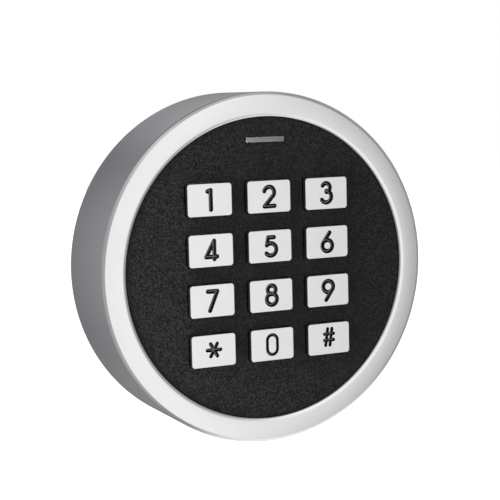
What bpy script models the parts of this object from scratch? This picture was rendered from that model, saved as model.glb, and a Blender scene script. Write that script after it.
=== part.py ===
"""A round keypad access reader for wall mounting.

A satin metal ring holds a black face with twelve metal keys and a status light bar. Behind the face
sit the silicone key mat, the circuit board with the reader coil, the rear cover and the wall plate.

Metres, +Z up. The front faces -Y. The origin is the centre of the wall plate's back face, which
lies on the wall, so a point at height h above the wall has the world position y = -h.
"""

import math

import bmesh
import bpy
from mathutils import Matrix, Vector

MM = 0.001
GAP = 0.3 * MM  # clear space kept between neighbouring pieces
OVERSHOOT = 0.5 * MM  # how far a cutter runs past the wall that it cuts
SMOOTH_ANGLE = 35.0  # edges sharper than this, in degrees, are shaded as creases

# housing
HOUSING_R = 57.5 * MM
HOUSING_WALL = 3.0 * MM
REAR_RECESS_R = 56.0 * MM
BEZEL_H = 32.0 * MM
BEZEL_OPENING_R = 49.4 * MM
BEZEL_CREST_R = 50.6 * MM
BEZEL_DROP = 0.4 * MM
BEZEL_THICKNESS = 2.8 * MM
OUTER_FILLET = 1.1 * MM
INNER_FILLET = 0.8 * MM
REAR_EDGE_H = 0.3 * MM
SEAL_STEP_H = 9.8 * MM
ROUND_SEGMENTS = 64

# face plate
FACE_H = BEZEL_H - 1.0 * MM
FACE_R = BEZEL_OPENING_R - 0.35 * MM
FACE_FLANGE_R = HOUSING_R - HOUSING_WALL - 0.4 * MM
FACE_FLANGE_H = BEZEL_H - BEZEL_THICKNESS - GAP
FACE_BACK_H = 27.4 * MM

# keys
KEY_W = 15.5 * MM
KEY_D = 10.5 * MM
KEY_CORNER_R = 1.0 * MM
KEY_EDGE = 0.3 * MM
KEY_TOP_H = BEZEL_H + 1.0 * MM
KEY_FLANGE = 1.0 * MM
KEY_FLANGE_T = 1.0 * MM
KEY_FLANGE_H = FACE_BACK_H - GAP
KEY_BACK_H = KEY_FLANGE_H - KEY_FLANGE_T
KEY_CLEARANCE = 0.35 * MM
PITCH_X = 20.95 * MM
PITCH_Z = 16.2 * MM
PAD_CENTRE_Z = -0.65 * MM
KEY_ROWS = (("1", "2", "3"), ("4", "5", "6"), ("7", "8", "9"), ("star", "0", "hash"))
LEGEND_DEPTH = 0.5 * MM
LEGEND_STROKE = 1.5 * MM

# light bar
BAR_W = 13.8 * MM
BAR_D = 1.75 * MM
BAR_Z = 42.1 * MM
BAR_CLEARANCE = 0.3 * MM
BAR_FLANGE = 0.7 * MM

# circuit board and what it carries
BOARD_R = 53.5 * MM
BOARD_FRONT_H = 22.1 * MM
BOARD_BACK_H = 20.5 * MM
ON_FRONT_H = BOARD_FRONT_H + GAP
ON_BACK_H = BOARD_BACK_H - GAP
COIL_INNER_R = 44.6 * MM
COIL_OUTER_R = 46.8 * MM
COIL_H = 3.0 * MM

# silicone mat
MAT_W = 60.0 * MM
MAT_D = 62.0 * MM
MAT_CORNER_R = 4.0 * MM
MAT_WEB_T = 1.0 * MM
DOME_BASE_R = 4.2 * MM
DOME_TOP_R = 2.9 * MM
DOME_TOP_H = KEY_BACK_H - GAP
DOME_SEGMENTS = 8

# fasteners: a screw is (thread radius, head radius, head height)
POST_RING_R = 50.2 * MM
LONG_SCREW = (1.5 * MM, 2.8 * MM, 2.0 * MM)
BOARD_SCREW = (1.0 * MM, 2.0 * MM, 1.5 * MM)
SECURITY_SCREW = (1.5 * MM, 2.3 * MM, 1.4 * MM)
LONG_POST_R = 2.8 * MM
BOARD_POST_R = 2.4 * MM
CORNER_ANGLES = (45, 135, 225, 315)

# rear cover and wall plate
COVER_BACK_H = 6.0 * MM
COVER_FRONT_H = 8.4 * MM
COVER_R = REAR_RECESS_R - 0.4 * MM
PILLAR_R = 3.9 * MM
PILLAR_TOP_H = BOARD_BACK_H - GAP
COUNTERBORE_TOP_H = 9.0 * MM
PLATE_R = 52.0 * MM
PLATE_T = 1.5 * MM
CABLE_Z = -14.0 * MM
CABLE_R = 2.6 * MM
CABLE_EXIT_R = 11.0 * MM
GROMMET_NECK_R = 5.6 * MM
WALL_SCREW_SPACING = 60.0 * MM
HOOK_X = 16.0 * MM
HOOK_Z = 40.0 * MM
HOOK_W = 10.0 * MM
TAMPER_X = 24.0 * MM
TAMPER_Z = 9.0 * MM


# ---------------------------------------------------------------- materials


def material(name, colour, roughness, metallic=0.0):
    """A Principled material; the colour is linear red, green and blue."""
    made = bpy.data.materials.new(name)
    made.use_nodes = True
    shader = made.node_tree.nodes["Principled BSDF"]
    shader.inputs["Base Color"].default_value = (*colour, 1.0)
    shader.inputs["Roughness"].default_value = roughness
    shader.inputs["Metallic"].default_value = metallic
    made.diffuse_color = (*colour, 1.0)
    return made


def make_materials():
    return {
        "satin_ring": material("satin_ring", (0.72, 0.72, 0.74), 0.3, 1.0),
        "satin_key": material("satin_key", (0.78, 0.78, 0.78), 0.35, 1.0),
        "black_face": material("black_face", (0.012, 0.013, 0.012), 0.5),
        "light_guide": material("light_guide", (0.17, 0.18, 0.18), 0.3),
        "silicone": material("silicone", (0.35, 0.35, 0.36), 0.6),
        "solder_mask": material("solder_mask", (0.01, 0.12, 0.04), 0.35),
        "chip_plastic": material("chip_plastic", (0.015, 0.015, 0.016), 0.45),
        "copper_wire": material("copper_wire", (0.65, 0.25, 0.1), 0.3, 1.0),
        "bright_steel": material("bright_steel", (0.6, 0.6, 0.6), 0.3, 1.0),
        "zinc_sheet": material("zinc_sheet", (0.55, 0.56, 0.58), 0.4, 1.0),
        "cover_plastic": material("cover_plastic", (0.02, 0.02, 0.021), 0.6),
        "seal_rubber": material("seal_rubber", (0.02, 0.02, 0.02), 0.8),
        "connector_plastic": material("connector_plastic", (0.75, 0.73, 0.66), 0.45),
        "cable_jacket": material("cable_jacket", (0.05, 0.05, 0.05), 0.55),
        "insulation_red": material("insulation_red", (0.5, 0.02, 0.02), 0.45),
        "insulation_black": material("insulation_black", (0.02, 0.02, 0.02), 0.45),
        "insulation_green": material("insulation_green", (0.02, 0.25, 0.06), 0.45),
        "insulation_white": material("insulation_white", (0.75, 0.75, 0.75), 0.45),
        "led_red": material("led_red", (0.6, 0.05, 0.04), 0.3),
        "led_green": material("led_green", (0.1, 0.5, 0.12), 0.3),
        "led_blue": material("led_blue", (0.08, 0.15, 0.6), 0.3),
    }


# ---------------------------------------------------------------- shape tools


def finish(name, bm, finish_material):
    """Turns a bmesh into a named object whose faces point outwards."""
    bmesh.ops.recalc_face_normals(bm, faces=bm.faces)
    mesh = bpy.data.meshes.new(name)
    bm.to_mesh(mesh)
    bm.free()
    mesh.shade_smooth()
    mesh.set_sharp_from_angle(angle=math.radians(SMOOTH_ANGLE))
    if finish_material:
        mesh.materials.append(finish_material)
    made = bpy.data.objects.new(name, mesh)
    bpy.context.scene.collection.objects.link(made)
    return made


def turned(profile, segments=ROUND_SEGMENTS, at=(0.0, 0.0)):
    """A body of revolution about the line x, z = at, from (radius, height) points.

    A profile that starts and ends on the axis is closed by it; any other joins its ends.
    """
    bm = bmesh.new()
    points = [bm.verts.new((r, -h, 0.0)) for r, h in profile]
    edges = [bm.edges.new(pair) for pair in zip(points, points[1:])]
    if profile[0][0] > 0.0:
        edges.append(bm.edges.new((points[-1], points[0])))
    bmesh.ops.spin(
        bm,
        geom=points + edges,
        cent=(0.0, 0.0, 0.0),
        axis=(0.0, 1.0, 0.0),
        angle=math.tau,
        steps=segments,
        use_merge=True,
    )
    bmesh.ops.remove_doubles(bm, verts=bm.verts, dist=0.001 * MM)
    bmesh.ops.translate(bm, vec=(at[0], 0.0, at[1]), verts=bm.verts)
    return bm


def lofted(sections):
    """A closed body through rings of the same number of points; a section is (outline, height)."""
    bm = bmesh.new()
    rings = [[bm.verts.new((x, -h, z)) for x, z in outline] for outline, h in sections]
    for lower, upper in zip(rings, rings[1:]):
        for i in range(len(lower)):
            j = (i + 1) % len(lower)
            bm.faces.new((lower[i], lower[j], upper[j], upper[i]))
    bm.faces.new(rings[0])
    bm.faces.new(rings[-1])
    return bm


def arc(centre, radius, start, end, steps):
    """Points on a circle from one angle to another, in degrees."""
    return [
        (
            centre[0] + radius * math.cos(math.radians(start + (end - start) * i / steps)),
            centre[1] + radius * math.sin(math.radians(start + (end - start) * i / steps)),
        )
        for i in range(steps + 1)
    ]


def circle(radius, count, at=(0.0, 0.0)):
    return arc(at, radius, 0, 360 - 360 / count, count - 1)


def rounded_rect(width, depth, corner, at=(0.0, 0.0), steps=2):
    """A rectangle's outline with its corners rounded, anticlockwise from the right."""
    points = []
    for sx, sz, start in ((1, 1, 0), (-1, 1, 90), (-1, -1, 180), (1, -1, 270)):
        centre = (at[0] + sx * (width / 2 - corner), at[1] + sz * (depth / 2 - corner))
        points += arc(centre, corner, start, start + 90, steps)
    return points


def stacked(profile, segments):
    """A solid round body from (radius, height) points, with a flat face at each end."""
    return lofted([(circle(radius, segments), h) for radius, h in profile])


def hexagon(radius, at=(0.0, 0.0)):
    """A hexagon with a point in the middle of each side, so that it has twelve points."""
    flat = radius * math.cos(math.radians(30))
    points = []
    for i in range(6):
        points += arc(at, radius, 60 * i, 60 * i, 1)[:1]
        points += arc(at, flat, 60 * i + 30, 60 * i + 30, 1)[:1]
    return points


def block(width, depth, low_h, high_h, at=(0.0, 0.0), corner=0.3 * MM, steps=1):
    """A block with small rounded upright edges, between two heights above the wall."""
    outline = rounded_rect(width, depth, corner, at, steps)
    return lofted([(outline, low_h), (outline, high_h)])


def add_to(bm, other):
    """Adds a second, separate shape to a cutter."""
    mesh = bpy.data.meshes.new("scratch")
    other.to_mesh(mesh)
    other.free()
    bm.from_mesh(mesh)
    bpy.data.meshes.remove(mesh)


def combine(target, bm, operation):
    """Cuts or joins a shape with an object, and leaves no modifier behind."""
    tool = finish("tool", bm, None)
    modifier = target.modifiers.new(operation.lower(), "BOOLEAN")
    modifier.operation = operation
    modifier.solver = "EXACT"
    modifier.use_self = True
    modifier.object = tool
    depsgraph = bpy.context.evaluated_depsgraph_get()
    shaped = bpy.data.meshes.new_from_object(target.evaluated_get(depsgraph))
    shaped.set_sharp_from_angle(angle=math.radians(SMOOTH_ANGLE))
    target.modifiers.clear()
    old = target.data
    target.data = shaped
    name = old.name
    bpy.data.meshes.remove(old)
    shaped.name = name
    spent = tool.data
    bpy.data.objects.remove(tool)
    bpy.data.meshes.remove(spent)
    return target


def cut(target, bm):
    return combine(target, bm, "DIFFERENCE")


def join(target, bm):
    return combine(target, bm, "UNION")


def rod(radius, low_h, high_h, at=(0.0, 0.0), segments=16):
    outline = circle(radius, segments, at)
    return lofted([(outline, low_h), (outline, high_h)])


def rods(radius, low_h, high_h, places, segments=16):
    """Several separate rods in one shape, as a drilling cutter."""
    bm = rod(radius, low_h, high_h, places[0], segments)
    for place in places[1:]:
        add_to(bm, rod(radius, low_h, high_h, place, segments))
    return bm


def on_ring(angles, radius=POST_RING_R):
    return [arc((0.0, 0.0), radius, angle, angle, 1)[0] for angle in angles]


def set_origin(made, point):
    """Moves an object's origin to a world point and leaves its shape where it is."""
    made.data.transform(Matrix.Translation(-Vector(point)))
    made.location = point


# ---------------------------------------------------------------- legends


def capsule(path, width, low_h, high_h, at):
    """A closed prism that follows an open path, with round ends."""
    half = width / 2
    points = [Vector((x * MM, z * MM)) for x, z in path]
    first = (points[1] - points[0]).angle_signed(Vector((1, 0)))
    last = (points[-1] - points[-2]).angle_signed(Vector((1, 0)))
    outline = arc(points[0], half, math.degrees(first) + 90, math.degrees(first) + 270, 5)
    right = []
    left = []
    for before, here, after in zip(points, points[1:], points[2:]):
        along = (after - before).normalized()
        side = Vector((along.y, -along.x)) * half
        right.append(here + side)
        left.append(here - side)
    outline += [tuple(p) for p in right]
    outline += arc(points[-1], half, math.degrees(last) - 90, math.degrees(last) + 90, 5)
    outline += [tuple(p) for p in reversed(left)]
    placed = [(x + at[0], z + at[1]) for x, z in outline]
    return lofted([(placed, low_h), (placed, high_h)])


def loop_ring(path, width, low_h, high_h, at):
    """A closed ring-shaped prism that follows a closed path."""
    bm = bmesh.new()
    count = len(path)
    rings = []
    for i in range(count):
        before = Vector(path[i - 1])
        here = Vector(path[i]) * MM
        after = Vector(path[(i + 1) % count])
        along = (after - before).normalized()
        side = Vector((along.y, -along.x)) * (width / 2)
        outer = here + side
        inner = here - side
        corners = ((outer, low_h), (outer, high_h), (inner, high_h), (inner, low_h))
        rings.append([bm.verts.new((p.x + at[0], -h, p.y + at[1])) for p, h in corners])
    for i in range(count):
        this = rings[i]
        following = rings[(i + 1) % count]
        for j in range(4):
            k = (j + 1) % 4
            bm.faces.new((this[j], this[k], following[k], following[j]))
    return bm


def oval(width, depth, centre, steps):
    """A stadium's centre line: two half circles joined by straight sides."""
    radius = width / 2
    rise = (depth - width) / 2
    x, z = centre
    upper = arc((x, z + rise), radius, 0, 180, steps)
    lower = arc((x, z - rise), radius, 180, 360, steps)
    if rise == 0:
        return upper[:-1] + lower[:-1]
    return upper + lower


def legend_strokes(label):
    """One key's legend in millimetres from the key's centre: open paths, and closed loops."""
    tall = 3.1
    paths = {
        "1": [[(0.4, -tall), (0.4, tall)], [(0.4, tall), (-0.75, tall - 0.4)]],
        "2": [arc((0.0, 1.35), 1.8, 165, -35, 8) + [(-1.75, -tall)], [(-1.75, -tall), (1.85, -tall)]],
        "3": [arc((-0.1, 1.85), 1.45, 150, -85, 8), arc((-0.1, -1.15), 1.9, 88, -150, 9)],
        "4": [
            [(1.05, -2.75), (1.05, tall)],
            [(1.05, tall), (-1.8, -1.95)],
            [(-1.8, -1.95), (2.0, -1.95)],
        ],
        "5": [
            [(1.35, 2.9), (-0.75, 2.9)],
            [(-0.75, 2.9), (-1.25, 0.4)],
            arc((0.1, -1.05), 2.0, 134, -142, 10),
        ],
        "6": [[(0.9, tall), (-1.6, -0.3)]],
        "7": [[(-1.6, tall), (1.7, tall)], [(1.7, tall), (-1.0, -tall)]],
        "8": [],
        "9": [[(-0.8, -tall), (1.65, 0.35)]],
        "0": [],
        "star": [
            [(-2.3, 0.3), (2.3, 0.3)],
            [(-1.15, -1.7), (1.15, 2.3)],
            [(-1.15, 2.3), (1.15, -1.7)],
        ],
        "hash": [
            [(-1.3, -2.2), (-0.5, 3.3)],
            [(0.3, -2.2), (1.1, 3.3)],
            [(-1.7, 1.6), (1.7, 1.6)],
            [(-1.7, -0.5), (1.7, -0.5)],
        ],
    }
    loops = {
        "6": [oval(3.7, 3.7, (0.0, -1.2), 8)],
        "8": [oval(2.85, 2.85, (0.1, 1.9), 8), oval(3.65, 3.65, (0.1, -1.2), 8)],
        "9": [oval(3.75, 3.75, (0.05, 1.3), 8)],
        "0": [oval(3.65, 6.5, (-0.1, 0.0), 6)],
    }
    return paths[label], loops.get(label, [])


def engrave(key, label, at):
    """Cuts a legend into a key's top, one stroke after another."""
    paths, loops = legend_strokes(label)
    low = KEY_TOP_H - LEGEND_DEPTH
    high = KEY_TOP_H + OVERSHOOT
    for path in paths:
        cut(key, capsule(path, LEGEND_STROKE, low, high, at))
    for path in loops:
        cut(key, loop_ring(path, LEGEND_STROKE, low, high, at))


# ---------------------------------------------------------------- front pieces


def make_housing(look):
    """The ring: side wall, rounded bezel, inner lip, and the rear recess with its seal step."""
    outer_edge_h = BEZEL_H - BEZEL_DROP
    inner_wall_r = HOUSING_R - HOUSING_WALL
    lip_back_h = BEZEL_H - BEZEL_THICKNESS
    fillet = (HOUSING_R - OUTER_FILLET, outer_edge_h - OUTER_FILLET)
    inner = (BEZEL_OPENING_R + INNER_FILLET, BEZEL_H - 0.1 * MM - INNER_FILLET)
    chamfer = 0.3 * MM
    profile = [(HOUSING_R - chamfer, REAR_EDGE_H), (HOUSING_R, REAR_EDGE_H + chamfer)]
    profile += arc(fillet, OUTER_FILLET, 0, 80, 2)
    profile += [(BEZEL_CREST_R + 2.4 * MM, BEZEL_H - 0.1 * MM), (BEZEL_CREST_R, BEZEL_H)]
    profile += arc(inner, INNER_FILLET, 90, 180, 2)
    profile += [
        (BEZEL_OPENING_R, lip_back_h),
        (inner_wall_r, lip_back_h),
        (inner_wall_r, SEAL_STEP_H),
        (REAR_RECESS_R, SEAL_STEP_H),
        (REAR_RECESS_R, REAR_EDGE_H),
    ]
    shell = finish("housing_shell", turned(profile), look["satin_ring"])
    return cut(shell, security_hole(HOUSING_R - 4.0 * MM, HOUSING_R + OVERSHOOT, 2.6 * MM))


def security_hole(near, far, radius):
    """A cutter for the security screw, which runs up the Z axis from below."""
    bm = rod(radius, near, far, segments=12)
    turn_to_bottom(bm)
    return bm


def turn_to_bottom(bm):
    """Turns a shape that points along the height axis so that it points down, at screw height."""
    screw_h = 3.4 * MM
    spin = Matrix.Rotation(math.radians(90), 4, "X")
    bmesh.ops.transform(bm, matrix=Matrix.Translation((0, -screw_h, 0)) @ spin, verts=bm.verts)


def make_face(look):
    """The black face: a raised disc, a flange behind the bezel, windows, and the screw posts."""
    edge = 0.3 * MM
    profile = [
        (FACE_R - edge, FACE_H),
        (FACE_R, FACE_H - edge),
        (FACE_R, FACE_FLANGE_H),
        (FACE_FLANGE_R, FACE_FLANGE_H),
        (FACE_FLANGE_R, FACE_BACK_H),
    ]
    face = finish("face_plate", stacked(profile, ROUND_SEGMENTS), look["black_face"])
    root_h = FACE_BACK_H + 0.5 * MM
    corners = on_ring(CORNER_ANGLES)
    sides = on_ring((0, 180))
    join(face, rods(LONG_POST_R, ON_FRONT_H, root_h, corners, 16))
    join(face, rods(BOARD_POST_R, ON_FRONT_H, root_h, sides, 12))
    hole_end = FACE_BACK_H - 0.2 * MM
    clearance = 0.3 * MM
    cut(face, rods(LONG_SCREW[0] + clearance, ON_FRONT_H - OVERSHOOT, hole_end, corners, 12))
    cut(face, rods(BOARD_SCREW[0] + clearance, ON_FRONT_H - OVERSHOOT, hole_end, sides, 12))
    windows = block(
        BAR_W + 2 * BAR_CLEARANCE,
        BAR_D + 2 * BAR_CLEARANCE,
        FACE_BACK_H - OVERSHOOT,
        FACE_H + OVERSHOOT,
        (0.0, BAR_Z),
    )
    for _, at in key_places():
        outline = rounded_rect(
            KEY_W + 2 * KEY_CLEARANCE, KEY_D + 2 * KEY_CLEARANCE, KEY_CORNER_R + KEY_CLEARANCE, at
        )
        add_to(windows, lofted([(outline, FACE_BACK_H - OVERSHOOT), (outline, FACE_H + OVERSHOOT)]))
    return cut(face, windows)


def key_places():
    """Each key's label and the centre of its window, from the top row down."""
    for row, labels in enumerate(KEY_ROWS):
        for column, label in enumerate(labels):
            yield label, ((column - 1) * PITCH_X, PAD_CENTRE_Z + (1.5 - row) * PITCH_Z)


def make_key(label, at, look):
    """One key: a raised rounded block with an engraved legend, and a flange behind the face."""
    flange = rounded_rect(KEY_W + 2 * KEY_FLANGE, KEY_D + 2 * KEY_FLANGE, KEY_CORNER_R, at)
    body = rounded_rect(KEY_W, KEY_D, KEY_CORNER_R, at)
    top = rounded_rect(KEY_W - 2 * KEY_EDGE, KEY_D - 2 * KEY_EDGE, KEY_CORNER_R - KEY_EDGE, at)
    bm = lofted(
        [
            (flange, KEY_BACK_H),
            (flange, KEY_FLANGE_H),
            (body, KEY_FLANGE_H),
            (body, KEY_TOP_H - KEY_EDGE),
            (top, KEY_TOP_H),
        ]
    )
    key = finish("key_" + label, bm, look["satin_key"])
    engrave(key, label, at)
    set_origin(key, (at[0], -KEY_BACK_H, at[1]))
    return key


def make_light_bar(look):
    """The light guide: its flush top fills the slot, and its foot sits behind the face."""
    foot_w = BAR_W + 2 * BAR_FLANGE
    foot_d = BAR_D + 2 * BAR_FLANGE
    foot = rounded_rect(foot_w, foot_d, 0.4 * MM, (0.0, BAR_Z), 1)
    bar = rounded_rect(BAR_W, BAR_D, 0.3 * MM, (0.0, BAR_Z), 1)
    bm = lofted([(foot, KEY_BACK_H), (foot, KEY_FLANGE_H), (bar, KEY_FLANGE_H), (bar, FACE_H)])
    return finish("light_bar", bm, look["light_guide"])


# ---------------------------------------------------------------- silicone mat


def make_mat(look):
    """The mat's web, with an opening around each dome."""
    outline = rounded_rect(MAT_W, MAT_D, MAT_CORNER_R, (0.0, PAD_CENTRE_Z))
    bm = lofted([(outline, ON_FRONT_H), (outline, ON_FRONT_H + MAT_WEB_T)])
    mat = finish("keypad_mat", bm, look["silicone"])
    places = [at for _, at in key_places()]
    low = ON_FRONT_H - OVERSHOOT
    high = ON_FRONT_H + MAT_WEB_T + OVERSHOOT
    return cut(mat, rods(DOME_BASE_R + GAP, low, high, places, DOME_SEGMENTS))


def make_dome(label, at, look):
    """One collapsing dome: a thin conical skirt, open below, around the contact pill."""
    skirt = 0.6 * MM
    shoulder_h = ON_FRONT_H + 0.5 * MM
    waist_h = DOME_TOP_H - 0.9 * MM
    pill_r = 1.6 * MM
    pill_h = ON_FRONT_H + 1.2 * MM
    profile = [
        (0.0, DOME_TOP_H),
        (DOME_TOP_R, DOME_TOP_H),
        (DOME_TOP_R, waist_h),
        (DOME_BASE_R, shoulder_h),
        (DOME_BASE_R, ON_FRONT_H),
        (DOME_BASE_R - skirt, ON_FRONT_H),
        (DOME_TOP_R - skirt, waist_h),
        (pill_r, waist_h),
        (pill_r, pill_h),
        (0.0, pill_h),
    ]
    dome = finish("dome_" + label, turned(profile, DOME_SEGMENTS, at), look["silicone"])
    set_origin(dome, (at[0], -ON_FRONT_H, at[1]))
    return dome


# ---------------------------------------------------------------- circuit board


def make_board(look):
    """The round board, drilled for the four long screws and its own two screws."""
    bm = rod(BOARD_R, BOARD_BACK_H, BOARD_FRONT_H, segments=48)
    board = finish("main_board", bm, look["solder_mask"])
    low = BOARD_BACK_H - OVERSHOOT
    high = BOARD_FRONT_H + OVERSHOOT
    clearance = 0.4 * MM
    cut(board, rods(LONG_SCREW[0] + clearance, low, high, on_ring(CORNER_ANGLES), 12))
    return cut(board, rods(BOARD_SCREW[0] + clearance, low, high, on_ring((0, 180)), 12))


def make_coil(look):
    """The reader's coil, wound round the key field, with rounded edges."""
    edge = 0.6 * MM
    low = ON_FRONT_H
    high = low + COIL_H
    profile = [
        (COIL_INNER_R, low),
        (COIL_OUTER_R, low),
        (COIL_OUTER_R, high - edge),
        (COIL_OUTER_R - edge, high),
        (COIL_INNER_R + edge, high),
        (COIL_INNER_R, high - edge),
    ]
    return finish("reader_coil", turned(profile, 40), look["copper_wire"])


def make_status_leds(look):
    """Three chip lamps under the light bar."""
    spacing = 4.5 * MM
    width, depth, height = 1.6 * MM, 0.8 * MM, 0.7 * MM
    for index, colour in enumerate(("red", "green", "blue")):
        at = ((index - 1) * spacing, BAR_Z)
        bm = block(width, depth, ON_FRONT_H, ON_FRONT_H + height, at, 0.15 * MM)
        finish("status_led_" + colour, bm, look["led_" + colour])


def make_chips(look):
    """The flat parts on the board's back: (name, width, depth, height, place, finish)."""
    chips = (
        ("microcontroller", 10.0, 10.0, 1.5, (-14.0, 16.0), "chip_plastic"),
        ("reader_chip", 10.3, 7.5, 2.3, (3.0, 18.0), "chip_plastic"),
        ("regulator", 6.6, 6.2, 2.4, (-30.0, 2.0), "chip_plastic"),
        ("crystal", 10.5, 4.2, 3.6, (-14.0, 4.0), "bright_steel"),
        ("tamper_switch", 6.0, 6.0, 5.0, (TAMPER_X / MM, TAMPER_Z / MM), "chip_plastic"),
    )
    for name, width, depth, height, (x, z), finish_name in chips:
        at = (x * MM, z * MM)
        corner, steps = (1.8 * MM, 4) if name == "crystal" else (0.4 * MM, 1)
        bm = block(width * MM, depth * MM, ON_BACK_H - height * MM, ON_BACK_H, at, corner, steps)
        finish(name, bm, look[finish_name])


def make_capacitor(look):
    """A standing capacitor can with the rolled groove near its foot."""
    radius = 4.0 * MM
    groove_r = 3.7 * MM
    length = 9.5 * MM
    profile = [
        (0.0, ON_BACK_H),
        (radius, ON_BACK_H),
        (radius, ON_BACK_H - 1.0 * MM),
        (groove_r, ON_BACK_H - 1.5 * MM),
        (radius, ON_BACK_H - 2.0 * MM),
        (radius, ON_BACK_H - length + 0.4 * MM),
        (radius - 0.4 * MM, ON_BACK_H - length),
        (0.0, ON_BACK_H - length),
    ]
    bm = turned(profile, 16, (-27.0 * MM, -20.0 * MM))
    finish("capacitor", bm, look["bright_steel"])


def make_buzzer(look):
    """The round sounder, with the sound hole in its end."""
    radius = 6.0 * MM
    hole_r = 1.2 * MM
    end_h = ON_BACK_H - 8.0 * MM
    profile = [
        (0.0, ON_BACK_H),
        (radius, ON_BACK_H),
        (radius, end_h + 0.4 * MM),
        (radius - 0.4 * MM, end_h),
        (hole_r, end_h),
        (hole_r, end_h + 1.5 * MM),
        (0.0, end_h + 1.5 * MM),
    ]
    finish("buzzer", turned(profile, 24, (27.0 * MM, -18.0 * MM)), look["chip_plastic"])


# ---------------------------------------------------------------- cable

HEADER_W = 18.0 * MM
HEADER_WALL = 1.2 * MM
HEADER_LOW_Z = -38.0 * MM
HEADER_HIGH_Z = -30.0 * MM
HEADER_END_H = 13.4 * MM
PLUG_END_Z = -27.0 * MM
JACKET_TOP_H = 11.5 * MM


def upright_block(low, high):
    """A plain block between two corners, each (x, height above the wall, z)."""
    outline = [(low[0], low[2]), (high[0], low[2]), (high[0], high[2]), (low[0], high[2])]
    return lofted([(outline, low[1]), (outline, high[1])])


def make_connector(look):
    """The board's right-angle header, open upwards, and the plug inside it."""
    half = HEADER_W / 2
    shell = upright_block((-half, HEADER_END_H, HEADER_LOW_Z), (half, ON_BACK_H, HEADER_HIGH_Z))
    header = finish("board_header", shell, look["connector_plastic"])
    room_low = (-half + HEADER_WALL, HEADER_END_H + HEADER_WALL, HEADER_LOW_Z + HEADER_WALL)
    room_high = (half - HEADER_WALL, ON_BACK_H - HEADER_WALL, HEADER_HIGH_Z + OVERSHOOT)
    cut(header, upright_block(room_low, room_high))
    plug_low = tuple(value + GAP for value in room_low)
    plug_high = (room_high[0] - GAP, room_high[1] - GAP, PLUG_END_Z)
    finish("cable_plug", upright_block(plug_low, plug_high), look["connector_plastic"])


def make_cable(look):
    """The jacket, cut off just short of the wall, in the grommet that seals it in the cover."""
    bm = rod(CABLE_R, PLATE_T, JACKET_TOP_H, (0.0, CABLE_Z), 16)
    finish("cable", bm, look["cable_jacket"])
    bore_r = CABLE_R + GAP
    flange_r = 7.4 * MM
    profile = [
        (bore_r, COVER_BACK_H - GAP - 1.2 * MM),
        (flange_r, COVER_BACK_H - GAP - 1.2 * MM),
        (flange_r, COVER_BACK_H - GAP),
        (GROMMET_NECK_R, COVER_BACK_H - GAP),
        (GROMMET_NECK_R, COVER_FRONT_H + GAP),
        (flange_r, COVER_FRONT_H + GAP),
        (flange_r, COVER_FRONT_H + GAP + 1.2 * MM),
        (bore_r, COVER_FRONT_H + GAP + 1.2 * MM),
    ]
    finish("cable_grommet", turned(profile, 24, (0.0, CABLE_Z)), look["seal_rubber"])


def make_wires(look):
    """Four insulated wires that rise from the jacket's end and bend over to the plug."""
    wire_r = 0.55 * MM
    plug_mid_h = (HEADER_END_H + ON_BACK_H) / 2
    bundle = 0.8 * MM
    spacing = 3.4 * MM
    steps = 8
    for index, colour in enumerate(("red", "black", "green", "white")):
        side = -1 if index < 2 else 1
        level = -1 if index in (0, 3) else 1
        start = Vector((side * bundle, -(JACKET_TOP_H + GAP), CABLE_Z + level * bundle))
        end = Vector(((index - 1.5) * spacing, -plug_mid_h, PLUG_END_Z + GAP))
        rise = Vector((start.x, -plug_mid_h - 0.5 * MM * level, start.z))
        reach = Vector((end.x, end.y, end.z + 4.0 * MM))
        path = [bezier(start, rise, reach, end, i / steps) for i in range(steps + 1)]
        finish("wire_" + colour, tube(path, wire_r, 6), look["insulation_" + colour])


def bezier(a, b, c, d, t):
    """A point on a cubic curve."""
    s = 1.0 - t
    return a * s**3 + b * (3 * s * s * t) + c * (3 * s * t * t) + d * t**3


def tube(path, radius, sides):
    """A closed round tube along a path of points."""
    bm = bmesh.new()
    rings = []
    across = Vector((1.0, 0.0, 0.0))
    for i, here in enumerate(path):
        before = path[max(i - 1, 0)]
        after = path[min(i + 1, len(path) - 1)]
        along = (after - before).normalized()
        across = (across - along * across.dot(along)).normalized()
        up = along.cross(across)
        ring = []
        for k in range(sides):
            turn = math.tau * k / sides
            ring.append(bm.verts.new(here + (across * math.cos(turn) + up * math.sin(turn)) * radius))
        rings.append(ring)
    for lower, upper in zip(rings, rings[1:]):
        for i in range(sides):
            j = (i + 1) % sides
            bm.faces.new((lower[i], lower[j], upper[j], upper[i]))
    bm.faces.new(rings[0])
    bm.faces.new(rings[-1])
    return bm


# ---------------------------------------------------------------- tamper switch

PLUNGER_R = 1.5 * MM
PLUNGER_TIP_H = PLATE_T + GAP
PLUNGER_END_H = 13.8 * MM
COLLAR_R = 2.8 * MM
COLLAR_H = 9.4 * MM
COLLAR_T = 0.8 * MM
SWITCH_FACE_H = ON_BACK_H - 5.0 * MM


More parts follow.
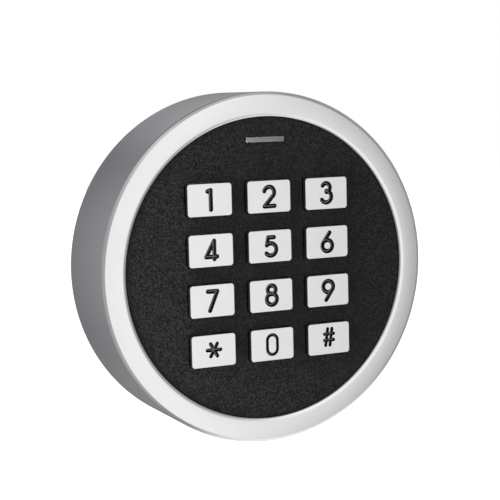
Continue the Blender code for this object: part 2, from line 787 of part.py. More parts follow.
def make_tamper(look):
    """The plunger that rests on the wall plate, and the spring between it and its switch."""
    profile = [
        (0.0, PLUNGER_TIP_H),
        (PLUNGER_R - 0.5 * MM, PLUNGER_TIP_H),
        (PLUNGER_R, PLUNGER_TIP_H + 0.5 * MM),
        (PLUNGER_R, COLLAR_H),
        (COLLAR_R, COLLAR_H),
        (COLLAR_R, COLLAR_H + COLLAR_T),
        (PLUNGER_R, COLLAR_H + COLLAR_T),
        (PLUNGER_R, PLUNGER_END_H),
        (0.0, PLUNGER_END_H),
    ]
    at = (TAMPER_X, TAMPER_Z)
    plunger = finish("tamper_plunger", turned(profile, 16, at), look["bright_steel"])
    set_origin(plunger, (TAMPER_X, -PLUNGER_TIP_H, TAMPER_Z))
    wire_r = 0.25 * MM
    coil_r = PLUNGER_R + GAP + wire_r
    low = COLLAR_H + COLLAR_T + GAP + wire_r
    high = SWITCH_FACE_H - GAP - wire_r
    turns = 4
    steps = 10 * turns
    path = []
    for i in range(steps + 1):
        x, z = arc(at, coil_r, 360 * turns * i / steps, 0, 1)[0]
        path.append(Vector((x, -(low + (high - low) * i / steps), z)))
    finish("tamper_spring", tube(path, wire_r, 4), look["bright_steel"])


# ---------------------------------------------------------------- screws, rear cover, wall plate


def screw_shape(size, head_h, tip_h, at=(0.0, 0.0)):
    """A screw with a hexagon socket. Its head starts at head_h, and its tip is at tip_h."""
    thread_r, head_r, head_t = size
    toward = 1.0 if tip_h > head_h else -1.0
    seat = head_h + toward * head_t
    socket_r = head_r * 0.5
    edge = 0.3 * MM
    socket_depth = head_t * 0.6
    return lofted(
        [
            (hexagon(socket_r, at), head_h + toward * socket_depth),
            (hexagon(socket_r, at), head_h),
            (circle(head_r - edge, 12, at), head_h),
            (circle(head_r, 12, at), head_h + toward * edge),
            (circle(head_r, 12, at), seat),
            (circle(thread_r, 12, at), seat),
            (circle(thread_r, 12, at), tip_h - toward * edge),
            (circle(thread_r - edge, 12, at), tip_h),
        ]
    )


def make_screws(look):
    steel = look["bright_steel"]
    corners = zip(("top_right", "top_left", "bottom_left", "bottom_right"), on_ring(CORNER_ANGLES))
    long_head_h = COUNTERBORE_TOP_H - GAP - LONG_SCREW[2]
    long_tip_h = FACE_BACK_H - 2 * GAP - 0.5 * MM
    for place, at in corners:
        finish("cover_screw_" + place, screw_shape(LONG_SCREW, long_head_h, long_tip_h, at), steel)
    board_head_h = ON_BACK_H - BOARD_SCREW[2]
    for place, at in zip(("right", "left"), on_ring((0, 180))):
        tip_h = FACE_BACK_H - 2 * GAP - 0.5 * MM
        finish("board_screw_" + place, screw_shape(BOARD_SCREW, board_head_h, tip_h, at), steel)
    bm = screw_shape(SECURITY_SCREW, HOUSING_R - 0.3 * MM, PLATE_R - 2.5 * MM)
    turn_to_bottom(bm)
    finish("security_screw", bm, steel)


def make_rear_cover(look):
    """The rear cover: a disc with four hollow pillars, and openings for hooks, cable and plunger."""
    edge = 0.4 * MM
    profile = [
        (COVER_R - edge, COVER_BACK_H),
        (COVER_R, COVER_BACK_H + edge),
        (COVER_R, COVER_FRONT_H),
    ]
    cover = finish("rear_cover", stacked(profile, 48), look["cover_plastic"])
    corners = on_ring(CORNER_ANGLES)
    root_h = COVER_FRONT_H - 0.5 * MM
    below = COVER_BACK_H - OVERSHOOT
    above = COVER_FRONT_H + OVERSHOOT
    join(cover, rods(PILLAR_R, root_h, PILLAR_TOP_H, corners, 16))
    cut(cover, rods(LONG_SCREW[0] + GAP, below, PILLAR_TOP_H + OVERSHOOT, corners, 12))
    cut(cover, rods(LONG_SCREW[1] + GAP, below, COUNTERBORE_TOP_H, corners, 16))
    cut(cover, rod(GROMMET_NECK_R + GAP, below, above, (0.0, CABLE_Z), 24))
    cut(cover, rod(PLUNGER_R + 0.4 * MM, below, above, (TAMPER_X, TAMPER_Z), 16))
    slot_low = -4.0 * MM
    slot_high = 1.1 * MM
    for x in (-HOOK_X, HOOK_X):
        half = HOOK_W / 2 + 0.4 * MM
        low = (x - half, below, HOOK_Z + slot_low)
        high = (x + half, above, HOOK_Z + slot_high)
        cut(cover, upright_block(low, high))
    return cover


def make_seal(look):
    """The flat rubber ring between the rear cover's rim and the step in the ring."""
    inner_r = HOUSING_R - HOUSING_WALL + 0.2 * MM
    outer_r = REAR_RECESS_R - GAP
    low = COVER_FRONT_H + GAP
    high = SEAL_STEP_H - GAP
    profile = [(inner_r, low), (outer_r, low), (outer_r, high), (inner_r, high)]
    finish("cover_seal", turned(profile, 48), look["seal_rubber"])


def make_wall_plate(look):
    """The steel plate that is screwed to the wall, with two hooks and the security screw's tab."""
    disc = rod(PLATE_R, 0.0, PLATE_T, segments=48)
    plate = finish("wall_plate", disc, look["zinc_sheet"])
    root_h = 0.5 * MM
    leg_t = 1.5 * MM
    nose = 2.6 * MM
    nose_h = COVER_FRONT_H + 0.5 * MM
    for x in (-HOOK_X, HOOK_X):
        left = x - HOOK_W / 2
        right = x + HOOK_W / 2
        low_z = HOOK_Z - leg_t / 2
        outline = [
            (low_z, root_h),
            (low_z + leg_t, root_h),
            (low_z + leg_t, nose_h),
            (low_z + leg_t + nose, nose_h),
            (low_z + leg_t + nose, nose_h + leg_t),
            (low_z, nose_h + leg_t),
        ]
        join(plate, side_prism(outline, left, right))
    tab_half = 6.0 * MM
    tab_high_z = -(PLATE_R - 2.0 * MM)
    tab_low = (-tab_half, root_h, tab_high_z - leg_t)
    tab_high = (tab_half, COVER_BACK_H - 2 * GAP, tab_high_z)
    join(plate, upright_block(tab_low, tab_high))
    cut(plate, security_hole(PLATE_R - 5.0 * MM, PLATE_R + OVERSHOOT, SECURITY_SCREW[0] + GAP))
    above = PLATE_T + OVERSHOOT
    cut(plate, rod(CABLE_EXIT_R, -OVERSHOOT, above, (0.0, CABLE_Z), 24))
    half = WALL_SCREW_SPACING / 2
    wall_screw_r = 2.2 * MM
    places = ((-half, 0.0), (half, 0.0), (0.0, half), (0.0, -half - 2.0 * MM))
    return cut(plate, rods(wall_screw_r, -OVERSHOOT, above, places, 12))


def side_prism(outline, left, right):
    """A prism along X from points (z, height above the wall)."""
    bm = bmesh.new()
    ends = [[bm.verts.new((x, -h, z)) for z, h in outline] for x in (left, right)]
    count = len(outline)
    for i in range(count):
        j = (i + 1) % count
        bm.faces.new((ends[0][i], ends[0][j], ends[1][j], ends[1][i]))
    bm.faces.new(ends[0])
    bm.faces.new(ends[1])
    return bm


# ---------------------------------------------------------------- assembly


def clear_scene():
    for old in list(bpy.data.objects):
        bpy.data.objects.remove(old)


def build():
    clear_scene()
    look = make_materials()
    make_housing(look)
    make_face(look)
    for label, at in key_places():
        make_key(label, at, look)
        make_dome(label, at, look)
    make_light_bar(look)
    make_mat(look)
    make_board(look)
    make_coil(look)
    make_status_leds(look)
    make_chips(look)
    make_capacitor(look)
    make_buzzer(look)
    make_connector(look)
    make_cable(look)
    make_wires(look)
    make_tamper(look)
    make_screws(look)
    make_rear_cover(look)
    make_seal(look)
    make_wall_plate(look)


build()
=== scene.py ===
"""Looks for the round keypad access reader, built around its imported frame.

Metres, +Z up, front towards -Y. A height h above the wall is the world position y = -h.
"""

import math

import bmesh
import bpy
from mathutils import Matrix, Vector


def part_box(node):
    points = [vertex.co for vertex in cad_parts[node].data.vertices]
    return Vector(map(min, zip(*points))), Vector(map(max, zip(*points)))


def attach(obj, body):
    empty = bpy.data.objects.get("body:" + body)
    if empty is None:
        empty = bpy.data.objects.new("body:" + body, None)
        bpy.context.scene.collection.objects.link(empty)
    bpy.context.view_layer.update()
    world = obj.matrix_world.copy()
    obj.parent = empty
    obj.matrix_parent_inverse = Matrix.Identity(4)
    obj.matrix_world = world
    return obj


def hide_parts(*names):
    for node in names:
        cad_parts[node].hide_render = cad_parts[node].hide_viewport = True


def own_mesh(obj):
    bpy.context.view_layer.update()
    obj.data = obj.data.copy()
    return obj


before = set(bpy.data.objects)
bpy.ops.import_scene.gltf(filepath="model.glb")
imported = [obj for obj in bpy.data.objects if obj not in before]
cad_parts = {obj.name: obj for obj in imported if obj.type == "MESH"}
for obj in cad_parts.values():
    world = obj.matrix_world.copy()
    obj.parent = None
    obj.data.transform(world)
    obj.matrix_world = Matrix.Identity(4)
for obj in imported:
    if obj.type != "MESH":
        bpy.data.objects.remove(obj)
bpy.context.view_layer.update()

MM = 0.001
BODY = "reader"
SMOOTH_ANGLE = 32.0


def top_h(node):
    """How far a node's front lies above the wall."""
    return -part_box(node)[0].y


def back_h(node):
    """How far a node's back lies above the wall."""
    return -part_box(node)[1].y


def span(node):
    """How far a node's back and front lie above the wall."""
    return back_h(node), top_h(node)


def middle(node):
    """The centre of a node's box, as (x, z)."""
    low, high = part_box(node)
    return (low.x + high.x) / 2, (low.z + high.z) / 2


def half_width(node):
    low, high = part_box(node)
    return (high.x - low.x) / 2


def half_depth(node):
    low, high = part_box(node)
    return (high.z - low.z) / 2


def radii(node, near_h=None):
    """The smallest and largest distance from the ring's axis of a node's points."""
    points = [v.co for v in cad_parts[node].data.vertices]
    if near_h is not None:
        points = [p for p in points if abs(-p.y - near_h) < 0.05 * MM]
    found = [math.hypot(p.x, p.z) for p in points]
    return min(found), max(found)


HOUSING_R = half_width("housing_shell")
BEZEL_H = top_h("housing_shell")
OPENING_R = radii("housing_shell")[0]
FACE_H = top_h("face_plate")
KEY_LABELS = ("1", "2", "3", "4", "5", "6", "7", "8", "9", "star", "0", "hash")
KEY_FLANGE = 1.0 * MM
KEY_HALF_W = half_width("key_1") - KEY_FLANGE
KEY_HALF_D = half_depth("key_1") - KEY_FLANGE
KEY_TOP_H = top_h("key_1")
KEY_BACK_H = back_h("key_1")
BAR_FLANGE = 0.7 * MM
BAR_HALF_W = half_width("light_bar") - BAR_FLANGE
BAR_HALF_D = half_depth("light_bar") - BAR_FLANGE
# legend strokes and grooves, in millimetres
STROKE = 1.5
THIN_STROKES = {"0": 1.1, "hash": 1.2, "star": 1.3}
GROOVE_DEPTH = 0.9
# the screws' angles round their ring, and the wall plate's two hooks
CORNER_ANGLES = (45, 135, 225, 315)
SIDE_ANGLES = (0, 180)
BOARD_HOLES = ((1.9 * MM, CORNER_ANGLES), (1.4 * MM, SIDE_ANGLES))
WIRE_PITCH = 3.4 * MM
HOOK_X = 16.0 * MM
HOOK_Z = 40.0 * MM
HOOK_W = 10.0 * MM


# ---------------------------------------------------------------- shader graphs


class Graph:
    """A node graph, with short calls for the nodes this script uses."""

    def __init__(self, tree, place):
        self.tree = tree
        self.place = self.add("ShaderNodeTexCoord").outputs[place]

    def add(self, kind, inputs=None, **settings):
        """Adds a node; an input's value may be another node's output."""
        made = self.tree.nodes.new(kind)
        for key, value in settings.items():
            setattr(made, key, value)
        for key, value in (inputs or {}).items():
            self.feed(made.inputs[key], value)
        return made

    def feed(self, socket, value):
        if isinstance(value, bpy.types.NodeSocket):
            self.tree.links.new(value, socket)
        else:
            socket.default_value = value

    def dot(self, first, second):
        vectors = {0: first, 1: second}
        return self.add("ShaderNodeVectorMath", vectors, operation="DOT_PRODUCT").outputs["Value"]

    def math(self, operation, a, b=0.0):
        return self.add("ShaderNodeMath", {0: a, 1: b}, operation=operation).outputs[0]

    def noise(self, scale, detail=2.0, roughness=0.5, vector=None):
        values = {"Vector": vector or self.place, "Scale": scale}
        values.update({"Detail": detail, "Roughness": roughness})
        return self.add("ShaderNodeTexNoise", values).outputs["Fac"]

    def cells(self, scale, output="Distance"):
        values = {"Vector": self.place, "Scale": scale}
        return self.add("ShaderNodeTexVoronoi", values).outputs[output]

    def spread(self, value, low, high, start=0.0, end=1.0, smooth=False):
        """Maps value from start..end to low..high."""
        kind = "SMOOTHSTEP" if smooth else "LINEAR"
        values = dict(enumerate((value, start, end, low, high)))
        return self.add("ShaderNodeMapRange", values, interpolation_type=kind).outputs[0]

    def blend(self, amount, first, second):
        """A colour between two colours."""
        values = {"Factor": amount, 6: first, 7: second}
        return self.add("ShaderNodeMix", values, data_type="RGBA").outputs[2]

    def axes(self, vector=None):
        return self.add("ShaderNodeSeparateXYZ", {0: vector or self.place}).outputs[:3]

    def polar(self, angle_scale, radius_scale, depth_scale):
        """Coordinates that follow the ring: round it, across it and along its axis."""
        x, y, z = self.axes()
        angle = self.math("ARCTAN2", z, x)
        square = self.math("ADD", self.math("MULTIPLY", x, x), self.math("MULTIPLY", z, z))
        parts = (angle, angle_scale), (self.math("SQRT", square), radius_scale), (y, depth_scale)
        scaled = {i: self.math("MULTIPLY", *part) for i, part in enumerate(parts)}
        return self.add("ShaderNodeCombineXYZ", scaled).outputs[0]

    def bump(self, height, distance, strength=1.0, under=None):
        values = {"Height": height, "Distance": distance, "Strength": strength}
        if under:
            values["Normal"] = under
        return self.add("ShaderNodeBump", values).outputs[0]

    def edge_wear(self, radius):
        """About 1 on rounded edges and 0 on flat faces."""
        rounded = self.add("ShaderNodeBevel", {"Radius": radius}, samples=4).outputs[0]
        flat = self.add("ShaderNodeNewGeometry").outputs["True Normal"]
        return self.spread(self.dot(rounded, flat), 1.0, 0.0, 0.8, 0.995)


class Look(Graph):
    """A material's graph."""

    def __init__(self, name):
        self.material = bpy.data.materials.new(name)
        self.material.use_nodes = True
        super().__init__(self.material.node_tree, "Object")
        self.shader = self.tree.nodes["Principled BSDF"]

    def set(self, **values):
        """Sets or links the shader's inputs; a name's underscores stand for spaces."""
        for key, value in values.items():
            self.feed(self.shader.inputs[key.replace("_", " ")], value)


def grey(value, tint=(1.0, 1.0, 1.0)):
    return (value * tint[0], value * tint[1], value * tint[2], 1.0)


def satin_ring():
    """Satin-plated zinc: hair-fine streaks across the bezel, polished along its rim; the side wall's
    colour is painted darker towards the back edge, as painted shade.
    """
    g = Look("look_satin_ring")
    streaks = g.noise(1.0, 3.0, 0.6, g.polar(260.0, 500.0, 500.0))
    along = g.noise(1.0, 2.0, 0.5, g.polar(6.0, 300.0, 3500.0))
    cloud = g.noise(60.0, 3.0, 0.55)
    grain = g.noise(9000.0, 2.0, 0.6)
    wear = g.edge_wear(0.35 * MM)
    tone = g.math("ADD", g.math("MULTIPLY", streaks, 0.35), g.math("MULTIPLY", cloud, 0.65))
    colour = g.blend(tone, grey(0.78, (0.99, 0.99, 0.99)), grey(0.88, (0.99, 0.99, 0.99)))
    rough = g.math("ADD", g.spread(streaks, 0.19, 0.23, 0.3, 0.7), g.spread(cloud, -0.015, 0.015))
    surface = g.math("ADD", g.math("MULTIPLY", along, 0.3), g.math("MULTIPLY", grain, 0.7))
    depth = g.axes()[1]
    # painted shade: the side wall keeps its own violet-grey tint, but its colour is darkened from the
    # bezel towards the back edge
    painted_shade_to_back = g.spread(depth, 0.0, 1.0, -29.0 * MM, -2.0 * MM)
    side = g.spread(depth, 0.0, 1.0, -31.0 * MM, -30.0 * MM)
    side_tint_and_painted_shade = g.blend(painted_shade_to_back, (0.865, 0.862, 0.93, 1.0), (0.668, 0.665, 0.722, 1.0))
    colour = g.blend(side, colour, side_tint_and_painted_shade)
    bright = g.blend(side, grey(0.9), side_tint_and_painted_shade)
    g.set(Base_Color=g.blend(wear, colour, bright), Metallic=1.0)
    g.set(Roughness=g.math("SUBTRACT", rough, g.math("MULTIPLY", wear, 0.12)))
    g.set(Normal=g.bump(surface, 0.003 * MM, 0.25, g.bump(streaks, 0.003 * MM, 0.25)))
    return g.material


def satin_key():
    """Bead-blasted, plated zinc keys, with a brighter, polished edge."""
    g = Look("look_satin_key")
    grain = g.noise(7000.0, 3.0, 0.6)
    cloud = g.noise(180.0, 3.0, 0.6)
    wear = g.edge_wear(0.25 * MM)
    colour = g.blend(cloud, grey(0.79), grey(0.89))
    g.set(Base_Color=g.blend(wear, colour, grey(0.93)), Metallic=1.0)
    rough = g.math("ADD", g.spread(grain, 0.2, 0.28, 0.3, 0.7), g.spread(cloud, -0.02, 0.03))
    g.set(Roughness=g.math("SUBTRACT", rough, g.math("MULTIPLY", wear, 0.08)))
    g.set(Normal=g.bump(grain, 0.006 * MM, 0.3))
    return g.material


def legend_enamel():
    """Black enamel in the engraved legends: glossy where it pooled, duller on the sides."""
    g = Look("look_legend_enamel")
    pool = g.noise(900.0, 2.0, 0.5)
    facing = g.axes(g.add("ShaderNodeNewGeometry").outputs["True Normal"])[1]
    level = g.spread(g.math("MULTIPLY", facing, -1.0), 0.0, 1.0, 0.8, 0.97)
    g.set(Base_Color=g.blend(pool, grey(0.002), grey(0.005)), IOR=1.7)
    g.set(Specular_IOR_Level=g.spread(level, 0.1, 1.0))
    gloss = g.math("ADD", g.spread(level, 0.3, 0.08), g.spread(pool, -0.03, 0.05))
    g.set(Roughness=gloss, Normal=g.bump(pool, 0.02 * MM, 0.2))
    return g.material


def black_face():
    """Black moulded ABS with a fine spark-eroded grain."""
    g = Look("look_black_face")
    grain = g.noise(1850.0, 3.0, 0.62)
    fine = g.noise(3600.0, 2.0, 0.6)
    pits = g.cells(1700.0)
    cloud = g.noise(70.0, 3.0, 0.6)
    low = g.blend(cloud, (0.0009, 0.0012, 0.0011, 1.0), (0.0013, 0.0017, 0.0015, 1.0))
    high = g.blend(cloud, (0.0072, 0.0079, 0.0076, 1.0), (0.009, 0.0097, 0.0094, 1.0))
    speck = g.spread(grain, 0.0, 1.0, 0.44, 0.6)
    g.set(Base_Color=g.blend(speck, low, high))
    g.set(Roughness=g.spread(fine, 0.36, 0.48, 0.3, 0.7), Specular_IOR_Level=0.15)
    surface = g.math("ADD", g.math("MULTIPLY", grain, 0.6), g.math("MULTIPLY", pits, 0.4))
    g.set(Normal=g.bump(surface, 0.05 * MM, 0.4, g.bump(fine, 0.02 * MM, 0.3)))
    return g.material


def light_guide():
    """Frosted grey polycarbonate that passes the lamps' light."""
    g = Look("look_light_guide")
    frost = g.noise(5000.0, 2.0, 0.5)
    cloud = g.noise(250.0, 2.0, 0.5)
    g.set(Base_Color=g.blend(cloud, (0.058, 0.06, 0.06, 1.0), (0.085, 0.088, 0.088, 1.0)))
    g.set(Roughness=g.spread(frost, 0.28, 0.45), Transmission_Weight=0.15, IOR=1.58)
    g.set(Normal=g.bump(frost, 0.01 * MM, 0.4))
    return g.material


def plastic(name, dark, light, scale, roughness, bump_mm, tint=(1.0, 1.0, 1.0)):
    """Moulded plastic or rubber: clouded colour, fine grain and polished edges."""
    g = Look(name)
    grain = g.noise(scale, 3.0, 0.6)
    cloud = g.noise(120.0, 3.0, 0.6)
    wear = g.edge_wear(0.2 * MM)
    base = g.blend(cloud, grey(dark, tint), grey(light, tint))
    g.set(Base_Color=g.blend(g.math("MULTIPLY", wear, 0.35), base, grey(light * 1.6, tint)))
    rough = g.spread(grain, roughness - 0.08, roughness + 0.08, 0.3, 0.7)
    g.set(Roughness=g.math("SUBTRACT", rough, g.math("MULTIPLY", wear, 0.08)))
    g.set(Normal=g.bump(grain, bump_mm * MM, 0.5))
    return g.material


def steel(name, shade=0.62, roughness=0.28, spangle=0.0):
    """Zinc-plated steel: drawn streaks, or the crystal spangle of a coated sheet."""
    g = Look(name)
    cloud = g.noise(90.0, 3.0, 0.6)
    grain = g.noise(4000.0, 2.0, 0.6)
    colour = g.blend(cloud, grey(shade * 0.85), grey(shade * 1.1, (1.0, 1.0, 1.02)))
    if spangle:
        flake = g.add("ShaderNodeSeparateColor", {0: g.cells(spangle, "Color")}).outputs[0]
        colour = g.blend(g.math("MULTIPLY", flake, 0.5), colour, grey(shade * 1.25))
        roughness = g.spread(flake, roughness, roughness + 0.18)
    wear = g.edge_wear(0.15 * MM)
    g.set(Base_Color=g.blend(wear, colour, grey(0.85)), Metallic=1.0)
    scratches = g.noise(1.0, 2.0, 0.6, g.polar(90.0, 2600.0, 300.0))
    g.set(Roughness=g.math("ADD", roughness, g.spread(grain, -0.04, 0.06)))
    g.set(Normal=g.bump(scratches, 0.01 * MM, 0.35, g.bump(grain, 0.01 * MM, 0.4)))
    return g.material


def solder_mask():
    """Green board lacquer over copper tracks on a square grid."""
    g = Look("look_solder_mask")
    x, _, z = g.axes()
    bends = g.spread(g.noise(45.0, 1.0, 0.4), -2.2 * MM, 2.2 * MM)
    across = g.math("PINGPONG", g.math("ADD", x, bends), 0.8 * MM)
    up = g.math("PINGPONG", g.math("ADD", z, bends), 0.8 * MM)
    region = g.spread(g.noise(38.0, 0.0, 0.5), 0.0, 1.0, 0.47, 0.53)
    upright = g.math("MULTIPLY", g.spread(across, 1.0, 0.0, 0.22 * MM, 0.3 * MM), region)
    rest = g.math("SUBTRACT", 1.0, region)
    level = g.math("MULTIPLY", g.spread(up, 1.0, 0.0, 0.22 * MM, 0.3 * MM), rest)
    track = g.math("ADD", upright, level)
    weave = g.noise(1800.0, 2.0, 0.5)
    base = g.blend(weave, (0.004, 0.06, 0.022, 1.0), (0.007, 0.085, 0.03, 1.0))
    g.set(Base_Color=g.blend(track, base, (0.02, 0.17, 0.06, 1.0)))
    g.set(Roughness=g.spread(weave, 0.2, 0.34), Coat_Weight=0.3)
    g.set(Normal=g.bump(track, 0.03 * MM, 0.6, g.bump(weave, 0.01 * MM, 0.3)))
    return g.material


def coil_wire():
    """Enamelled copper wire, wound side by side and held by clear lacquer; its colour is painted dark in
    the gaps between turns, as painted shade.
    """
    g = Look("look_coil_wire")
    _, radius, depth = g.axes(g.polar(0.5, 1.0, 1.0))
    pitch = 0.16 * MM
    ridge_r = g.math("PINGPONG", radius, pitch)
    ridge_y = g.math("PINGPONG", depth, pitch)
    across = g.spread(ridge_r, 0.0, 1.0, 0.0, pitch)
    ridge_height_and_painted_shade = g.math("ADD", across, g.spread(ridge_y, 0.0, 1.0, 0.0, pitch))
    lacquer = g.noise(220.0, 3.0, 0.6)
    # painted shade: the ridge height darkens the copper between the turns and leaves it light on the
    # crests
    g.set(Base_Color=g.blend(ridge_height_and_painted_shade, (0.2, 0.055, 0.02, 1.0), (0.68, 0.24, 0.09, 1.0)))
    g.set(Metallic=0.85, Roughness=g.spread(lacquer, 0.22, 0.42), Coat_Weight=0.5)
    g.set(Normal=g.bump(ridge_height_and_painted_shade, 0.06 * MM, 0.8))
    return g.material


def glow_lens(name, colour):
    """A chip lamp's clear resin over its coloured die."""
    g = Look(name)
    cloud = g.noise(1500.0, 2.0, 0.5)
    pale = tuple(0.55 + 0.45 * c for c in colour) + (1.0,)
    g.set(Base_Color=g.blend(cloud, colour + (1.0,), pale), Roughness=g.spread(cloud, 0.08, 0.2))
    g.set(Transmission_Weight=0.3, Coat_Weight=0.4)
    return g.material


# name: dark and light grey, grain's scale, roughness, bump in mm, tint where it has one
PLASTICS = {
    "silicone": (0.3, 0.38, 3000.0, 0.55, 0.01),
    "chip_plastic": (0.01, 0.018, 6000.0, 0.45, 0.02),
    "cover_plastic": (0.012, 0.02, 2200.0, 0.55, 0.06),
    "seal_rubber": (0.008, 0.014, 3500.0, 0.7, 0.03),
    "connector_plastic": (0.62, 0.72, 2500.0, 0.42, 0.015, (1.0, 0.97, 0.88)),
    "cable_jacket": (0.02, 0.032, 2500.0, 0.5, 0.03),
    "insulation_red": (0.5, 0.6, 3500.0, 0.38, 0.01, (1.0, 0.04, 0.03)),
    "insulation_black": (0.01, 0.018, 3500.0, 0.38, 0.01),
    "insulation_green": (0.26, 0.34, 3500.0, 0.38, 0.01, (0.1, 1.0, 0.25)),
    "insulation_white": (0.7, 0.8, 3500.0, 0.38, 0.01),
}
LENSES = {"red": (0.6, 0.05, 0.04), "green": (0.1, 0.5, 0.12), "blue": (0.08, 0.15, 0.6)}


def plain_metal(name, dark, light):
    """Soft plated metal with a little tarnish."""
    g = Look(name)
    tarnish = g.noise(700.0, 4.0, 0.6)
    g.set(Base_Color=g.blend(tarnish, dark, light), Metallic=1.0)
    g.set(Roughness=g.spread(tarnish, 0.2, 0.4), Normal=g.bump(tarnish, 0.01 * MM, 0.3))
    return g.material


looks = {
    "satin_ring": satin_ring(),
    "satin_key": satin_key(),
    "enamel": legend_enamel(),
    "black_face": black_face(),
    "light_guide": light_guide(),
    "solder_mask": solder_mask(),
    "copper_wire": coil_wire(),
    "bright_steel": steel("look_bright_steel"),
    "zinc_sheet": steel("look_zinc_sheet", 0.5, 0.26, 260.0),
    "gold": plain_metal("look_gold_plating", (0.85, 0.6, 0.24, 1.0), (0.93, 0.7, 0.34, 1.0)),
    "tin": plain_metal("look_tinned_lead", (0.62, 0.62, 0.62, 1.0), (0.8, 0.8, 0.81, 1.0)),
}
for name, sizes in PLASTICS.items():
    looks[name] = plastic("look_" + name, *sizes)
for name, colour in LENSES.items():
    looks["led_" + name] = glow_lens("look_led_" + name, colour)


# ---------------------------------------------------------------- shape tools


def arc(centre, radius, start, end, steps):
    """Points on a circle from one angle to another, in degrees."""
    turns = [math.radians(start + (end - start) * i / steps) for i in range(steps + 1)]
    return [(centre[0] + radius * math.cos(t), centre[1] + radius * math.sin(t)) for t in turns]


def circle(radius, count, at=(0.0, 0.0)):
    return arc(at, radius, 0.0, 360.0 - 360.0 / count, count - 1)


def rounded_rect(width, depth, corner, at=(0.0, 0.0), steps=8):
    """A rectangle's outline with its corners rounded, anticlockwise from the right."""
    points = []
    for sx, sz, start in ((1, 1, 0), (-1, 1, 90), (-1, -1, 180), (1, -1, 270)):
        centre = (at[0] + sx * (width / 2 - corner), at[1] + sz * (depth / 2 - corner))
        points += arc(centre, corner, start, start + 90, steps)
    return points


def quarter_round(edge, step):
    """How far a rounded edge lies in from the side and down from the top, from the side up."""
    turns = [math.radians(t) for t in range(0, 91, step)]
    return [(edge * (1 - math.cos(t)), edge * (1 - math.sin(t))) for t in turns]


def lofted(sections):
    """A closed body through rings of equal count; a section is (outline, height)."""
    bm = bmesh.new()
    return skin(bm, [[bm.verts.new((x, -h, z)) for x, z in outline] for outline, h in sections])


def prism(outline, low, high):
    return lofted([(outline, low), (outline, high)])


def skin(bm, rings, closed=False):
    """Joins rings of points into a body, with a face at each end unless it closes on itself."""
    pairs = list(zip(rings, rings[1:]))
    if closed:
        pairs.append((rings[-1], rings[0]))
    for lower, upper in pairs:
        for i in range(len(lower)):
            j = (i + 1) % len(lower)
            bm.faces.new((lower[i], lower[j], upper[j], upper[i]))
    if not closed:
        bm.faces.new(rings[0])
        bm.faces.new(rings[-1])
    return bm


def turned(profile, segments, at=(0.0, 0.0)):
    """A body of revolution about the line x, z = at, from (radius, height) points."""
    bm = bmesh.new()
    points = [bm.verts.new((r, -h, 0.0)) for r, h in profile]
    edges = [bm.edges.new(pair) for pair in zip(points, points[1:])]
    if profile[0][0] > 0.0:
        edges.append(bm.edges.new((points[-1], points[0])))
    bmesh.ops.spin(
        bm,
        geom=points + edges,
        cent=(0.0, 0.0, 0.0),
        axis=(0.0, 1.0, 0.0),
        angle=math.tau,
        steps=segments,
        use_merge=True,
    )
    bmesh.ops.remove_doubles(bm, verts=bm.verts, dist=0.0005 * MM)
    bmesh.ops.translate(bm, vec=(at[0], 0.0, at[1]), verts=bm.verts)
    return bm


def stacked(profile, segments, at=(0.0, 0.0)):
    """A solid round body from (radius, height) points, with a flat face at each end."""
    return lofted([(circle(radius, segments, at), h) for radius, h in profile])


def rod(radius, low, high, segments, at=(0.0, 0.0)):
    return stacked([(radius, low), (radius, high)], segments, at)


def tube(path, radius, sides):
    """A round tube along a path of points."""
    bm = bmesh.new()
    rings = []
    across = Vector((1.0, 0.0, 0.0))
    for i, here in enumerate(path):
        before = path[max(i - 1, 0)]
        after = path[min(i + 1, len(path) - 1)]
        along = (after - before).normalized()
        across = (across - along * across.dot(along)).normalized()
        up = along.cross(across)
        turns = [math.tau * k / sides for k in range(sides)]
        ring = [here + (across * math.cos(t) + up * math.sin(t)) * radius for t in turns]
        rings.append([bm.verts.new(p) for p in ring])
    return skin(bm, rings)


def merge(bm, other):
    """Adds a separate shape to a mesh."""
    scratch = bpy.data.meshes.new("scratch")
    other.to_mesh(scratch)
    other.free()
    bm.from_mesh(scratch)
    bpy.data.meshes.remove(scratch)
    return bm


def shade(mesh, angle=SMOOTH_ANGLE):
    mesh.shade_smooth()
    mesh.set_sharp_from_angle(angle=math.radians(angle))


def place(name, data):
    """Puts data in the scene as an object."""
    made = bpy.data.objects.new(name, data)
    bpy.context.scene.collection.objects.link(made)
    return made


def solid(name, bm, material):
    """A mesh object of a finished shape."""
    mesh = bpy.data.meshes.new(name)
    bm.to_mesh(mesh)
    bm.free()
    mesh.materials.append(material)
    return place(name, mesh)


def piece(name, bm, look, replaces=(), body=BODY):
    """A finished shape as a named piece that rides on its body and stands for CAD nodes."""
    bmesh.ops.recalc_face_normals(bm, faces=bm.faces)
    made = solid(name, bm, looks[look])
    shade(made.data)
    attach(made, body)
    if replaces:
        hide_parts(*replaces)
    return made


def modify(made, kind, **settings):
    """Changes an object's mesh by one modifier."""
    modifier = made.modifiers.new(kind, kind)
    for key, value in settings.items():
        setattr(modifier, key, value)
    depsgraph = bpy.context.evaluated_depsgraph_get()
    shaped = bpy.data.meshes.new_from_object(made.evaluated_get(depsgraph))
    made.modifiers.clear()
    old = made.data
    made.data = shaped
    bpy.data.meshes.remove(old)


def cut(made, bm, look=None):
    """Cuts a shape out; the new faces take the look, or keep the object's own."""
    bmesh.ops.recalc_face_normals(bm, faces=bm.faces)
    tool = solid("tool", bm, looks[look] if look else made.data.materials[0])
    mesh = tool.data
    mesh.shade_smooth()
    modify(
        made,
        "BOOLEAN",
        operation="DIFFERENCE",
        solver="EXACT",
        material_mode="TRANSFER",
        object=tool,
    )
    bpy.data.objects.remove(tool)
    bpy.data.meshes.remove(mesh)


